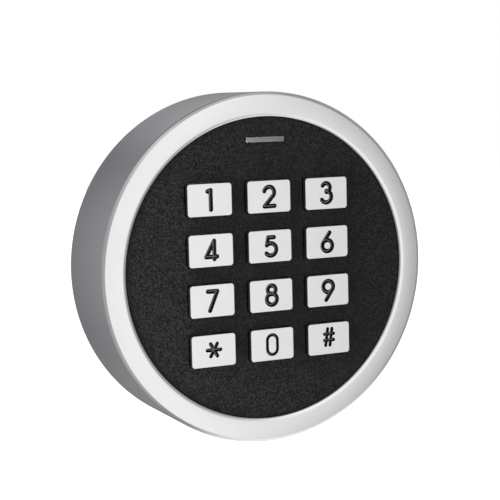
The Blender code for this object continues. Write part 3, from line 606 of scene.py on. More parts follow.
def polish(made, angle=SMOOTH_ANGLE):
    """Shades flat faces flat and curved ones smooth, after cuts and bevels."""
    shade(made.data, angle)
    modify(made, "WEIGHTED_NORMAL", mode="FACE_AREA", weight=100, keep_sharp=True)


def soften(made, width, segments=3, angle=40.0):
    """Rounds an object's sharp edges."""
    limit = math.radians(angle)
    modify(made, "BEVEL", width=width, segments=segments, limit_method="ANGLE", angle_limit=limit)
    polish(made)


# ---------------------------------------------------------------- ring and face


def rolled_edge(radius, height):
    """The bezel's outer edge, from the side wall in: a tight round, a slope and a soft break."""
    slope = 33.0
    tilt = 7.0
    tight = 0.5 * MM
    wide = 0.8 * MM
    soft = 1.0 * MM
    drop = 0.24 * MM
    s, c = math.sin(math.radians(slope)), math.cos(math.radians(slope))
    flat_r = radius - tight * (1.0 - s) - wide * c - soft * (s - math.sin(math.radians(tilt)))
    break_h = height - drop - soft * math.cos(math.radians(tilt))
    soft_at = (flat_r - soft * math.sin(math.radians(tilt)), break_h)
    tight_h = soft_at[1] + soft * c - wide * s - tight * c
    points = arc((radius - tight, tight_h), tight, 0, 90 - slope, 8)
    return points + arc(soft_at, soft, 90 - slope, 90 - tilt, 8)


def make_ring():
    """The housing: round side wall, softly crowned bezel, lip and rear recess."""
    lip_back_h = top_h("housing_shell") - 2.8 * MM
    wall_r = HOUSING_R - 3.0 * MM
    recess_r = HOUSING_R - 1.5 * MM
    rear_h = back_h("housing_shell")
    step_h = 9.8 * MM
    rear_round = 0.3 * MM
    inner_wide = 1.45 * MM
    inner_deep = 0.95 * MM
    crest_r = OPENING_R + inner_wide
    profile = arc((HOUSING_R - rear_round, rear_h + rear_round), rear_round, -90, 0, 4)
    profile += rolled_edge(HOUSING_R, BEZEL_H)
    steps = 10
    outer = profile[-1]
    for i in range(1, steps):
        t = i / steps
        r = outer[0] + (crest_r - outer[0]) * t
        profile.append((r, outer[1] + (BEZEL_H - outer[1]) * (1.0 - (1.0 - t) ** 2)))
    for i in range(13):
        t = math.radians(7.5 * i)
        r = crest_r - inner_wide * math.sin(t)
        profile.append((r, BEZEL_H - inner_deep * (1.0 - math.cos(t))))
    profile += [
        (OPENING_R, lip_back_h + 0.1 * MM),
        (OPENING_R + 0.1 * MM, lip_back_h),
        (wall_r, lip_back_h),
        (wall_r, step_h + 0.1 * MM),
        (wall_r + 0.1 * MM, step_h),
        (recess_r, step_h),
        (recess_r, rear_h + 0.1 * MM),
        (recess_r + 0.1 * MM, rear_h),
    ]
    ring = piece("ring_housing", turned(profile, 288), "satin_ring", ["housing_shell"])
    hole = rod(2.6 * MM, HOUSING_R - 4 * MM, HOUSING_R + MM, 48)
    turn_to_bottom(hole)
    cut(ring, hole)
    polish(ring)


def turn_to_bottom(bm):
    """Turns a shape along the height axis so that it points down, at the screw's height."""
    screw_h = -(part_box("security_screw")[0].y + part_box("security_screw")[1].y) / 2
    spin = Matrix.Rotation(math.radians(90), 4, "X")
    bmesh.ops.transform(bm, matrix=Matrix.Translation((0, -screw_h, 0)) @ spin, verts=bm.verts)


def on_ring(angles):
    """Places on the ring of screws, whose radius the frame gives."""
    x, z = middle("cover_screw_top_right")
    radius = math.hypot(x, z)
    return [arc((0.0, 0.0), radius, angle, angle, 1)[0] for angle in angles]


def make_face():
    """The black face with its windows, their edges slightly rounded, and the screw posts."""
    front_r = OPENING_R - 0.1 * MM
    flange_r = half_width("face_plate")
    flange_h = BEZEL_H - 3.1 * MM
    plate_back_h = back_h("key_1") + 1.3 * MM
    profile = [(flange_r, plate_back_h), (flange_r, flange_h), (front_r, flange_h), (front_r, FACE_H)]
    face = piece("front_face", stacked(profile, 256), "black_face", ["face_plate"])
    low = plate_back_h - MM
    high = FACE_H + MM
    gap = 0.2 * MM
    bar_w = 2 * (BAR_HALF_W + gap)
    bar_d = 2 * (BAR_HALF_D + gap)
    bar = rounded_rect(bar_w, bar_d, 0.4 * MM, middle("light_bar"), 4)
    windows = prism(bar, low, high)
    for label in KEY_LABELS:
        width = 2 * (KEY_HALF_W + gap)
        depth = 2 * (KEY_HALF_D + gap)
        outline = rounded_rect(width, depth, 1.2 * MM, middle("key_" + label), 6)
        merge(windows, prism(outline, low, high))
    cut(face, windows)
    soften(face, 0.05 * MM, 2)
    bevel = 0.2 * MM
    root_h = plate_back_h + 0.05 * MM
    end_h = back_h("face_plate")
    posts = ((CORNER_ANGLES, 2.8 * MM, 1.8 * MM), (SIDE_ANGLES, 2.4 * MM, 1.3 * MM))
    for angles, outer, inner in posts:
        for number, at in enumerate(on_ring(angles)):
            wall = [(outer, root_h), (outer, end_h + bevel), (outer - bevel, end_h)]
            wall += [(inner + bevel, end_h), (inner, end_h + bevel), (inner, root_h)]
            name = "face_post_%d_%d" % (len(angles), number)
            piece(name, turned(wall, 40, at), "black_face")


def make_light_bar():
    foot_h = back_h("light_bar")
    flange_h = foot_h + MM
    at = middle("light_bar")
    foot = rounded_rect(2 * half_width("light_bar"), 2 * half_depth("light_bar"), 0.4 * MM, at, 4)
    stem = rounded_rect(2 * BAR_HALF_W, 2 * BAR_HALF_D, 0.3 * MM, at, 4)
    sections = [(foot, foot_h), (foot, flange_h), (stem, flange_h)]
    for inset, rise in quarter_round(0.18 * MM, 30):
        outline = rounded_rect(2 * (BAR_HALF_W - inset), 2 * (BAR_HALF_D - inset), 0.3 * MM, at, 4)
        sections.append((outline, FACE_H - rise))
    piece("light_window", lofted(sections), "light_guide", ["light_bar"])


# ---------------------------------------------------------------- keys


def oval(width, depth, centre, steps):
    """A closed stadium's centre line: two half circles joined by straight sides."""
    radius = width / 2
    rise = (depth - width) / 2
    x, z = centre
    upper = arc((x, z + rise), radius, 0, 180, steps)
    lower = arc((x, z - rise), radius, 180, 360, steps)
    if rise == 0:
        return upper[:-1] + lower[:-1]
    return upper + lower


def legend(label):
    """A key's legend in millimetres from the key's centre: stroke width, open paths, loops."""
    tall = 3.1
    paths = {
        "1": [[(0.3, -tall), (0.3, tall)], [(0.28, tall), (-0.8, tall - 0.35)]],
        "2": [
            arc((0.0, 1.35), 1.8, 165, -35, 22) + [(-1.75, -tall)],
            [(-1.77, -tall - 0.02), (1.85, -tall)],
        ],
        "3": [arc((-0.1, 1.85), 1.45, 150, -85, 22), arc((-0.1, -1.15), 1.9, 88, -150, 26)],
        "4": [
            [(1.05, -2.75), (1.05, tall)],
            [(1.03, tall - 0.02), (-1.8, -1.95)],
            [(-1.82, -1.97), (2.0, -1.97)],
        ],
        "5": [
            [(1.35, 2.9), (-0.75, 2.9)],
            [(-0.77, 2.88), (-1.25, 0.4)],
            arc((0.1, -1.05), 2.0, 134, -142, 26),
        ],
        "6": [[(0.9, tall), (-1.6, -0.3)]],
        "7": [[(-1.6, tall), (1.7, tall)], [(1.68, tall - 0.02), (-1.0, -tall)]],
        "8": [],
        "9": [[(-0.8, -tall), (1.65, 0.35)]],
        "0": [],
        "star": [
            [(-2.3, 0.3), (2.3, 0.3)],
            [(-1.15, -1.7), (1.15, 2.3)],
            [(-1.15, 2.3), (1.15, -1.7)],
        ],
        "hash": [
            [(-1.3, -2.2), (-0.5, 3.3)],
            [(0.3, -2.2), (1.1, 3.3)],
            [(-1.7, 1.6), (1.7, 1.6)],
            [(-1.7, -0.5), (1.7, -0.5)],
        ],
    }
    loops = {
        "6": [oval(3.7, 3.7, (0.0, -1.2), 20)],
        "8": [oval(2.85, 2.85, (0.1, 1.9), 20), oval(3.65, 3.65, (0.1, -1.2), 20)],
        "9": [oval(3.75, 3.75, (0.05, 1.3), 20)],
        "0": [oval(3.65, 6.5, (-0.1, 0.0), 18)],
    }
    return THIN_STROKES.get(label, STROKE), paths[label], loops.get(label, [])


def groove(path, width, closed, at, extra):
    """A tool for a groove with sloping sides and a narrow flat bottom, along a path."""
    half = width / 2 * MM
    deep = (GROOVE_DEPTH + extra) * MM
    across = [(1.0, 0.0), (0.6, -0.5), (0.24, -0.97), (0.18, -1.0), (-0.18, -1.0), (-0.24, -0.97)]
    across += [(-0.6, -0.5), (-1.0, 0.0), (-0.7, 0.5), (0.0, 0.7), (0.7, 0.5)]
    points = [Vector((x * MM + at[0], z * MM + at[1])) for x, z in path]
    stations = []
    count = len(points)
    for i, here in enumerate(points):
        before = points[i - 1] if closed else points[max(i - 1, 0)]
        after = points[(i + 1) % count] if closed else points[min(i + 1, count - 1)]
        stations.append((here, (after - before).normalized(), 1.0))
    if not closed:
        cap = [math.radians(a) for a in (18, 36, 54, 72, 84)]
        first, along, _ = stations[0]
        last, onward, _ = stations[-1]
        head = [(first - along * half * math.sin(a), along, math.cos(a)) for a in reversed(cap)]
        tail = [(last + onward * half * math.sin(a), onward, math.cos(a)) for a in cap]
        stations = head + stations + tail
    bm = bmesh.new()
    rings = []
    for here, along, size in stations:
        side = Vector((along.y, -along.x))
        ring = []
        for u, rise in across:
            p = here + side * half * size * u
            ring.append(bm.verts.new((p.x, -(KEY_TOP_H + deep * size * rise), p.y)))
        rings.append(ring)
    return skin(bm, rings, closed)


def make_key(label):
    """A key with a rounded rim, engraved and filled, that rides on its own body."""
    node = "key_" + label
    at = middle(node)
    corner = 1.0 * MM
    flange_h = KEY_BACK_H + KEY_FLANGE
    flange_w = 2 * (KEY_HALF_W + KEY_FLANGE)
    flange_d = 2 * (KEY_HALF_D + KEY_FLANGE)
    rim = 0.12 * MM
    flange = rounded_rect(flange_w, flange_d, corner, at)
    flange_in = rounded_rect(flange_w - 2 * rim, flange_d - 2 * rim, corner - rim, at)
    body = rounded_rect(2 * KEY_HALF_W, 2 * KEY_HALF_D, corner, at)
    sections = [
        (flange_in, KEY_BACK_H),
        (flange, KEY_BACK_H + rim),
        (flange, flange_h - rim),
        (flange_in, flange_h),
        (body, flange_h),
    ]
    for inset, rise in quarter_round(0.28 * MM, 15):
        width = 2 * (KEY_HALF_W - inset)
        depth = 2 * (KEY_HALF_D - inset)
        sections.append((rounded_rect(width, depth, corner - inset * 0.6, at), KEY_TOP_H - rise))
    key = piece("cap_" + label, lofted(sections), "satin_key", [node], node)
    stroke, paths, loops = legend(label)
    for order, path in enumerate(paths + loops):
        cut(key, groove(path, stroke, path in loops, at, 0.011 * order), "enamel")
    polish(key, 25.0)


def squash(made):
    """Gives a piece its own copy of its mesh."""
    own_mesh(made)


def make_dome(label):
    """A collapsing silicone dome, shown at rest."""
    node = "dome_" + label
    low, high = span(node)
    base_r = half_width(node)
    top_r = 2.9 * MM
    skirt = 0.6 * MM
    waist = high - 0.9 * MM
    profile = [(0.0, high), (top_r - 0.25 * MM, high), (top_r, high - 0.25 * MM)]
    profile += [(top_r, waist), (top_r + 0.2 * MM, waist - 0.15 * MM)]
    profile += [(base_r - 0.15 * MM, low + 0.65 * MM), (base_r, low + 0.4 * MM), (base_r, low)]
    profile += [(base_r - skirt, low), (top_r - skirt, waist - 0.2 * MM), (1.6 * MM, waist)]
    profile += [(1.6 * MM, low + 1.35 * MM), (1.45 * MM, low + 1.2 * MM), (0.0, low + 1.2 * MM)]
    dome = piece("silicone_" + node, turned(profile, 40, middle(node)), "silicone", [node])
    squash(dome)


# ---------------------------------------------------------------- inside


def make_mat():
    """The mat's web, with rounded rims around its dome openings."""
    node = "keypad_mat"
    low, high = span(node)
    outline = rounded_rect(2 * half_width(node), 2 * half_depth(node), 4 * MM, middle(node), 10)
    mat = piece("mat_web", prism(outline, low, high), "silicone", [node])
    places = [middle("dome_" + label) for label in KEY_LABELS]
    drill(mat, half_width("dome_1") + 0.3 * MM, low - MM, high + MM, places)
    soften(mat, 0.15 * MM, 2)


def drill(made, radius, low, high, places, segments=40):
    """Cuts round holes through an object."""
    bm = rod(radius, low, high, segments, places[0])
    for at in places[1:]:
        merge(bm, rod(radius, low, high, segments, at))
    cut(made, bm)


def make_board():
    """The board, drilled, with gold key contacts and the through-hole pads."""
    node = "main_board"
    low, high = span(node)
    disc = rod(half_width(node), low, high, 192)
    board = piece("circuit_board", disc, "solder_mask", [node])
    for radius, angles in BOARD_HOLES:
        drill(board, radius, low - MM, high + MM, on_ring(angles))
    soften(board, 0.08 * MM, 1)
    contacts = bmesh.new()
    gap = 0.01 * MM
    copper = 0.04 * MM
    for label in KEY_LABELS:
        at = middle("dome_" + label)
        for side in (-1, 1):
            outer = arc(at, 2.3 * MM, 90 - side * 80, 90 + side * 80, 16)
            inner = arc(at, 1.5 * MM, 90 - side * 80, 90 + side * 80, 16)
            shift = side * 0.25 * MM
            outline = [(x + shift, z) for x, z in outer + list(reversed(inner))]
            merge(contacts, prism(outline, high + gap, high + copper))
        for k in (-1, 0, 1):
            bar = rounded_rect(0.35 * MM, 1.9 * MM, 0.15 * MM, (at[0] + k * 0.7 * MM, at[1]), 3)
            merge(contacts, prism(bar, high + gap, high + copper))
    piece("key_contacts", contacts, "gold")
    rings = bmesh.new()
    for radius, angles in BOARD_HOLES:
        pad_r = radius + 0.9 * MM
        for at in on_ring(angles):
            for near, far in ((high + gap, high + gap + copper), (low - gap, low - gap - copper)):
                wall = [(radius, near), (pad_r, near), (pad_r, far), (radius, far)]
                merge(rings, turned(wall, 40, at))
    piece("screw_pads", rings, "tin")


def make_coil():
    node = "reader_coil"
    low, high = span(node)
    profile = rounded_section(radii(node)[0], half_width(node), low, high, 0.5 * MM, 5)
    piece("antenna_coil", turned(profile, 256), "copper_wire", [node])


def rounded_section(inner_r, outer_r, low, high, edge, steps):
    """The outline of a ring's section with its four edges rounded, from the outer front."""
    profile = []
    for r, h, start in ((outer_r, high, 0), (inner_r, high, 90), (inner_r, low, 180), (outer_r, low, 270)):
        inward = -1 if r == outer_r else 1
        backward = -1 if h == high else 1
        profile += arc((r + inward * edge, h + backward * edge), edge, start, start + 90, steps)
    return profile


def box_shape(low, high, corner=0.2 * MM, steps=3):
    """A block between two (x, h, z) corners, upright edges rounded."""
    at = ((low[0] + high[0]) / 2, (low[2] + high[2]) / 2)
    outline = rounded_rect(high[0] - low[0], high[2] - low[2], corner, at, steps)
    return prism(outline, low[1], high[1])


def node_corners(node):
    low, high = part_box(node)
    return (low.x, -high.y, low.z), (high.x, -low.y, high.z)


def make_chip(node, pins, sides, pitch, reach):
    """A chip's moulded body with its foot of bent, tinned leads, and a pin-one dimple."""
    low, high = node_corners(node)
    gap = 0.3 * MM
    waist = (low[1] + high[1]) / 2
    x, z = middle(node)
    wx, wz = half_width(node), half_depth(node)
    draft = 0.12 * MM
    sections = []
    for inset, h in ((draft, low[1]), (0.0, waist), (draft, high[1])):
        sections.append((rounded_rect(2 * (wx - inset), 2 * (wz - inset), 0.25 * MM, (x, z), 3), h))
    body = piece(node + "_body", lofted(sections), "chip_plastic", [node])
    inset = 1.3 * MM
    dimple_at = (x - wx + inset, z + wz - inset)
    cut(body, rod(0.45 * MM, low[1] - MM, low[1] + 0.12 * MM, 24, dimple_at))
    soften(body, 0.06 * MM, 2)
    leads = bmesh.new()
    thick = 0.16 * MM
    wide = pitch * 0.45
    board = high[1] + gap
    for side in sides:
        turn = math.radians(side)
        along = Vector((-math.sin(turn), math.cos(turn)))
        out = Vector((math.cos(turn), math.sin(turn)))
        depth = wx if abs(out.x) > 0.5 else wz
        for k in range(pins):
            offset = (k - (pins - 1) / 2) * pitch
            line = [
                (depth - 0.1 * MM, waist),
                (depth + reach * 0.35, waist),
                (depth + reach * 0.6, board - thick),
                (depth + reach, board - thick),
            ]
            rings = []
            for d, h in line:
                ring = []
                for s, t in ((-1, -1), (1, -1), (1, 1), (-1, 1)):
                    p = Vector((x, z)) + out * d + along * (offset + s * wide / 2)
                    ring.append(leads.verts.new((p.x, -(h + t * thick / 2), p.y)))
                rings.append(ring)
            skin(leads, rings)
    piece(node + "_leads", leads, "tin")


def make_crystal():
    """The crystal's drawn steel can on its base rim."""
    node = "crystal"
    low, high = node_corners(node)
    at = middle(node)
    w, d = 2 * half_width(node), 2 * half_depth(node)
    rim = 0.8 * MM
    foot = rounded_rect(w, d, 1.8 * MM, at)
    can = rounded_rect(w - rim, d - rim, 1.5 * MM, at)
    sections = [(foot, high[1]), (foot, high[1] - 0.45 * MM), (can, high[1] - 0.5 * MM)]
    for inset, rise in quarter_round(0.5 * MM, 30):
        less = rim + 2 * inset
        sections.append((rounded_rect(w - less, d - less, 1.3 * MM, at), low[1] + rise))
    piece("crystal_can", lofted(sections), "bright_steel", [node])


def make_capacitor():
    """The capacitor: sleeve, rolled groove and the scored vent in its end."""
    node = "capacitor"
    low, high = node_corners(node)
    r = half_width(node)
    profile = arc((r - 0.2 * MM, high[1] - 0.2 * MM), 0.2 * MM, 90, 0, 4)
    groove_h = high[1] - 1.5 * MM
    for i in range(9):
        t = math.pi * i / 8
        profile.append((r - 0.3 * MM * math.sin(t) ** 2, groove_h + 0.5 * MM * math.cos(t)))
    profile += arc((r - 0.4 * MM, low[1] + 0.4 * MM), 0.4 * MM, 0, -90, 5)
    can = piece("capacitor_can", stacked(profile, 64, middle(node)), "bright_steel", [node])
    x, z = middle(node)
    for turn in (0.0, 90.0):
        arm = Vector((math.cos(math.radians(turn)), math.sin(math.radians(turn)))) * r * 0.6
        across = Vector((-arm.y, arm.x)).normalized() * 0.12 * MM
        centre = Vector((x, z))
        outline = [centre - arm - across, centre + arm - across]
        outline += [centre + arm + across, centre - arm + across]
        cut(can, prism(outline, low[1] - MM, low[1] + 0.15 * MM))
    polish(can)


def make_buzzer():
    node = "buzzer"
    low, high = node_corners(node)
    r = half_width(node)
    hole = 1.2 * MM
    profile = [(0.0, high[1]), (r, high[1])]
    profile += [(r, high[1] - 1.2 * MM), (r - 0.15 * MM, high[1] - 1.3 * MM)]
    profile += arc((r - 0.55 * MM, low[1] + 0.4 * MM), 0.4 * MM, 0, -90, 5)
    profile += [(hole + 0.2 * MM, low[1]), (hole, low[1] + 0.2 * MM), (hole, low[1] + 1.5 * MM)]
    profile += [(0.0, low[1] + 1.5 * MM)]
    piece("buzzer_case", turned(profile, 72, middle(node)), "chip_plastic", [node])


def make_tamper():
    """Switch, plunger and coil spring, the spring shown at its rest length."""
    low, high = node_corners("tamper_switch")
    block = box_shape(low, high, 0.4 * MM)
    switch = piece("tamper_switch_case", block, "chip_plastic", ["tamper_switch"])
    soften(switch, 0.12 * MM, 2)
    node = "tamper_plunger"
    tip, end = span(node)
    collar_r = half_width(node)
    stem = 1.5 * MM
    collar = 9.4 * MM
    profile = [(0.0, tip)] + arc((stem - 0.5 * MM, tip + 0.5 * MM), 0.5 * MM, -90, 0, 6)
    edge = 0.15 * MM
    collar_end = collar + 0.8 * MM
    profile += [(stem, collar - edge), (stem + edge, collar), (collar_r - edge, collar)]
    profile += [(collar_r, collar + edge), (collar_r, collar_end - edge), (collar_r - edge, collar_end)]
    profile += [(stem, collar_end), (stem, end - 0.3 * MM), (stem - 0.3 * MM, end), (0.0, end)]
    piece("tamper_pin", turned(profile, 48, middle(node)), "bright_steel", [node], node)
    node = "tamper_spring"
    wire = 0.25 * MM
    coil_r = half_width(node) - wire
    low_h, high_h = back_h(node) + wire, top_h(node) - wire
    turns = 4
    steps = 40 * turns
    path = []
    for i in range(steps + 1):
        x, z = arc(middle(node), coil_r, 360 * turns * i / steps, 0, 1)[0]
        path.append(Vector((x, -(low_h + (high_h - low_h) * i / steps), z)))
    spring = piece("tamper_coil", tube(path, wire, 10), "bright_steel", [node])
    squash(spring)


def make_lamps():
    """Three chip lamps: white base and coloured lens."""
    for colour in ("red", "green", "blue"):
        node = "status_led_" + colour
        low, high = node_corners(node)
        split = low[1] + (high[1] - low[1]) * 0.4
        block = box_shape(low, (high[0], split, high[2]), 0.1 * MM)
        base = piece(node + "_base", block, "connector_plastic")
        soften(base, 0.04 * MM, 1)
        lens_low = (low[0] + 0.3 * MM, split, low[2] + 0.05 * MM)
        lens_high = (high[0] - 0.3 * MM, high[1], high[2] - 0.05 * MM)
        dome = box_shape(lens_low, lens_high, 0.1 * MM)
        lens = piece(node + "_lens", dome, "led_" + colour, [node])
        soften(lens, 0.12 * MM, 3)


def make_connector():
    """The header, its plug, and the crimp slots along the plug's face."""
    low, high = node_corners("board_header")
    block = box_shape(low, high, 0.3 * MM)
    header = piece("header_shroud", block, "connector_plastic", ["board_header"])
    wall = 1.2 * MM
    well_low = (low[0] + wall, low[1] + wall, low[2] + wall)
    well_high = (high[0] - wall, high[1] - wall, high[2] + MM)
    cut(header, box_shape(well_low, well_high, 0.1 * MM))
    for x in (-5.0, 5.0):
        notch_low = ((x - 0.9) * MM, low[1] - MM, high[2] - 4.0 * MM)
        notch_high = ((x + 0.9) * MM, low[1] + wall + 0.2 * MM, high[2] + MM)
        cut(header, box_shape(notch_low, notch_high, 0.1 * MM))
    soften(header, 0.1 * MM, 2)
    low, high = node_corners("cable_plug")
    plug = piece("plug_shell", box_shape(low, high, 0.2 * MM), "connector_plastic", ["cable_plug"])
    for index in range(4):
        x = wire_x(index)
        slot_low = (x - 0.7 * MM, low[1] - MM, high[2] - 5.0 * MM)
        slot_high = (x + 0.7 * MM, low[1] + 0.5 * MM, high[2] - 2.5 * MM)
        cut(plug, box_shape(slot_low, slot_high, 0.1 * MM))
    soften(plug, 0.08 * MM, 2)


def wire_x(index):
    """Where each of the four wires meets the plug."""
    return (index - 1.5) * WIRE_PITCH


def bezier(a, b, c, d, t):
    s = 1.0 - t
    return a * s**3 + b * (3 * s * s * t) + c * (3 * s * t * t) + d * t**3


def make_cable():
    """The jacket, its ribbed grommet, and four wires that bend over to the plug."""
    node = "cable"
    r = half_width(node)
    low, high = span(node)
    profile = [(r - 0.15 * MM, low), (r, low + 0.15 * MM), (r, high - 0.2 * MM), (r - 0.2 * MM, high)]
    piece("cable_jacket", stacked(profile, 64, middle(node)), "cable_jacket", [node])
    node = "cable_grommet"
    bore = r + 0.3 * MM
    flange = half_width(node)
    neck = 5.6 * MM
    low, high = span(node)
    thick = 1.2 * MM
    soft = 0.35 * MM
    profile = arc((flange - soft, low + soft), soft, -90, 0, 5)
    profile += arc((flange - soft, low + thick - soft), soft, 0, 90, 5)
    profile += [(neck + 0.2 * MM, low + thick), (neck, low + thick + 0.2 * MM)]
    profile += [(neck, high - thick - 0.2 * MM), (neck + 0.2 * MM, high - thick)]
    profile += arc((flange - soft, high - thick + soft), soft, -90, 0, 5)
    profile += arc((flange - soft, high - soft), soft, 0, 90, 5)
    profile += [(bore + 0.3 * MM, high), (bore, high - 0.3 * MM)]
    profile += [(bore, low + 0.3 * MM), (bore + 0.3 * MM, low)]
    piece("grommet", turned(profile, 96, middle(node)), "seal_rubber", [node])
    x0, z0 = middle("cable")
    jacket_top = top_h("cable")
    plug_low, plug_high = node_corners("cable_plug")
    mid_h = (plug_low[1] + plug_high[1]) / 2
    bundle = 0.8 * MM
    for index, colour in enumerate(("red", "black", "green", "white")):
        side = -1 if index < 2 else 1
        level = -1 if index in (0, 3) else 1
        start = Vector((x0 + side * bundle, -(jacket_top - MM), z0 + level * bundle))
        end = Vector((wire_x(index), -mid_h, plug_high[2] - 0.5 * MM))
        rise = Vector((start.x, -mid_h - 0.5 * MM * level, start.z))
        reach = end + Vector((0, 0, 4.5 * MM))
        path = [bezier(start, rise, reach, end, i / 32) for i in range(33)]
        node = "wire_" + colour
        piece("lead_" + colour, tube(path, 0.55 * MM, 16), "insulation_" + colour, [node])


# ---------------------------------------------------------------- fasteners, cover, wall plate


def screw_shape(at, head_h, tip_h, head_r, thread_r, head_t, pitch):
    """A socket screw with a rolled thread about x, z = at; its head starts at head_h."""
    toward = 1.0 if tip_h > head_h else -1.0
    seat = head_h + toward * head_t
    socket = head_r * 0.5
    count = 48
    sections = []
    sockets = ((socket * 0.98, head_t * 0.6), (socket, 0.05 * MM), (socket + 0.05 * MM, 0.0))
    for radius, deep in sockets:
        points = []
        for k in range(count):
            t = math.tau * k / count
            wedge = (t + math.pi / 6) % (math.pi / 3) - math.pi / 6
            r = radius * math.cos(math.pi / 6) / math.cos(wedge)
            points.append((at[0] + r * math.cos(t), at[1] + r * math.sin(t)))
        sections.append((points, head_h + toward * deep))
    profile = []
    for inset, rise in reversed(quarter_round(min(0.3 * MM, head_t * 0.25), 30)):
        profile.append((head_r - inset, head_h + toward * rise))
    profile += [(head_r, seat - toward * 0.05 * MM), (head_r - 0.05 * MM, seat), (thread_r, seat)]
    length = abs(tip_h - seat) - 0.5 * MM
    for k in range(int(length / pitch)):
        base = seat + toward * (0.3 * MM + k * pitch)
        profile.append((thread_r * 0.86, base))
        profile += [(thread_r, base + toward * pitch * part) for part in (0.45, 0.6)]
    profile += [(thread_r * 0.86, tip_h - toward * 0.15 * MM), (thread_r * 0.7, tip_h)]
    return lofted(sections + [(circle(radius, count, at), h) for radius, h in profile])


def make_screws():
    corners = ("top_right", "top_left", "bottom_left", "bottom_right")
    long_kind = ("cover_screw_", "long_screw_", corners, (1.5 * MM, 2.0 * MM, 0.5 * MM))
    short_kind = ("board_screw_", "short_screw_", ("left", "right"), (1.0 * MM, 1.5 * MM, 0.4 * MM))
    for kind, name, places, sizes in (long_kind, short_kind):
        for place in places:
            node = kind + place
            bm = screw_shape(middle(node), *span(node), half_width(node), *sizes)
            piece(name + place, bm, "bright_steel", [node])
    node = "security_screw"
    low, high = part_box(node)
    reach = half_width(node)
    bm = screw_shape((0.0, 0.0), -low.z, -high.z, reach, 1.5 * MM, 1.4 * MM, 0.5 * MM)
    turn_to_bottom(bm)
    piece("edge_screw", bm, "bright_steel", [node])


def make_rear_cover():
    """The rear cover with its pillars and openings."""
    node = "rear_cover"
    low = back_h(node)
    front = low + 2.4 * MM
    pillar_top = top_h(node)
    edge = 0.4 * MM
    r = half_width(node)
    profile = arc((r - edge, low + edge), edge, -90, 0, 4) + [(r, front)]
    cover = piece("back_cover", stacked(profile, 224), "cover_plastic", [node])
    drill(cover, 5.9 * MM, low - MM, front + MM, [middle("cable")], 64)
    drill(cover, 1.9 * MM, low - MM, front + MM, [middle("tamper_plunger")])
    pocket_r = 3.1 * MM
    drill(cover, pocket_r, low - MM, front + MM, on_ring(CORNER_ANGLES))
    for x in (-HOOK_X, HOOK_X):
        half = HOOK_W / 2 + 0.4 * MM
        slot_low = (x - half, low - MM, HOOK_Z - 4 * MM)
        slot_high = (x + half, front + MM, HOOK_Z + 1.1 * MM)
        cut(cover, box_shape(slot_low, slot_high, 0.4 * MM))
    soften(cover, 0.15 * MM, 2)
    pillar_r = 3.9 * MM
    bore_r = 1.8 * MM
    bore_h = 9.0 * MM
    foot_h = front - 0.02 * MM
    for number, at in enumerate(on_ring(CORNER_ANGLES)):
        wall = [(pillar_r, foot_h), (pillar_r, pillar_top - 0.3 * MM)]
        wall += [(pillar_r - 0.3 * MM, pillar_top), (bore_r + 0.1 * MM, pillar_top)]
        wall += [(bore_r, pillar_top - 0.1 * MM), (bore_r, bore_h)]
        wall += [(pocket_r, bore_h), (pocket_r, foot_h)]
        piece("cover_pillar_%d" % number, turned(wall, 48, at), "cover_plastic")


def make_wall_plate():
    """The pressed plate: countersunk wall holes, hooks and the security tab."""
    node = "wall_plate"
    r = half_width(node)
    t = 1.5 * MM
    plate = piece("mounting_plate", rod(r, 0.0, t, 224), "zinc_sheet", [node])
    drill(plate, 11.0 * MM, -MM, t + MM, [middle("cable")], 96)
    half = 30.0 * MM
    places = ((-half, 0.0), (half, 0.0), (0.0, half), (0.0, -half - 2 * MM))
    hole_r = 2.2 * MM
    drill(plate, hole_r, -MM, t + MM, places, 48)
    for at in places:
        sink = [(hole_r, t - 1.1 * MM), (hole_r + 1.2 * MM, t + 0.1 * MM)]
        cut(plate, stacked(sink, 48, at))
    soften(plate, 0.12 * MM, 2)
    nose_h = top_h(node) - t
    root_h = t - 0.05 * MM
    for side, x in (("left", -HOOK_X), ("right", HOOK_X)):
        low_z = HOOK_Z - t / 2
        bend = 1.6 * MM
        tip_z = low_z + t + 2.6 * MM
        outer = [(low_z, root_h)] + arc((low_z + bend, nose_h + t - bend), bend, 180, 90, 8)
        outer += [(tip_z, nose_h + t), (tip_z, nose_h), (low_z + t, nose_h), (low_z + t, root_h)]
        strip = side_prism(outer, x - HOOK_W / 2, x + HOOK_W / 2)
        hook = piece("plate_hook_" + side, strip, "zinc_sheet")
        soften(hook, 0.1 * MM, 2)
    tab_z = -(r - 2.0 * MM)
    bm = box_shape((-6 * MM, root_h, tab_z - t), (6 * MM, 5.4 * MM, tab_z), 0.3 * MM)
    tab = piece("plate_tab", bm, "zinc_sheet")
    hole = rod(1.8 * MM, -tab_z - 3 * MM, -tab_z + 4 * MM, 40)
    turn_to_bottom(hole)
    cut(tab, hole)
    soften(tab, 0.1 * MM, 2)


def side_prism(outline, left, right):
    """A prism along X from points (z, height above the wall)."""
    bm = bmesh.new()
    return skin(bm, [[bm.verts.new((x, -h, z)) for z, h in outline] for x in (left, right)])


def make_seal():
    node = "cover_seal"
    low, high = span(node)
    profile = rounded_section(radii(node)[0], half_width(node), low, high, 0.2 * MM, 4)
    piece("seal_ring", turned(profile, 224), "seal_rubber", [node])


make_ring()
make_face()
make_light_bar()
for label in KEY_LABELS:
    make_key(label)
    make_dome(label)
make_mat()
make_board()
make_coil()
make_chip("microcontroller", 12, (0, 90, 180, 270), 0.65 * MM, 1.0 * MM)
make_chip("reader_chip", 8, (90, 270), 1.27 * MM, 1.3 * MM)
make_chip("regulator", 2, (90, 270), 3.0 * MM, 1.4 * MM)
make_crystal()
make_capacitor()
make_buzzer()
make_lamps()
make_tamper()
make_connector()
make_cable()
make_screws()
make_rear_cover()
make_seal()
make_wall_plate()


# ---------------------------------------------------------------- stage, light and camera


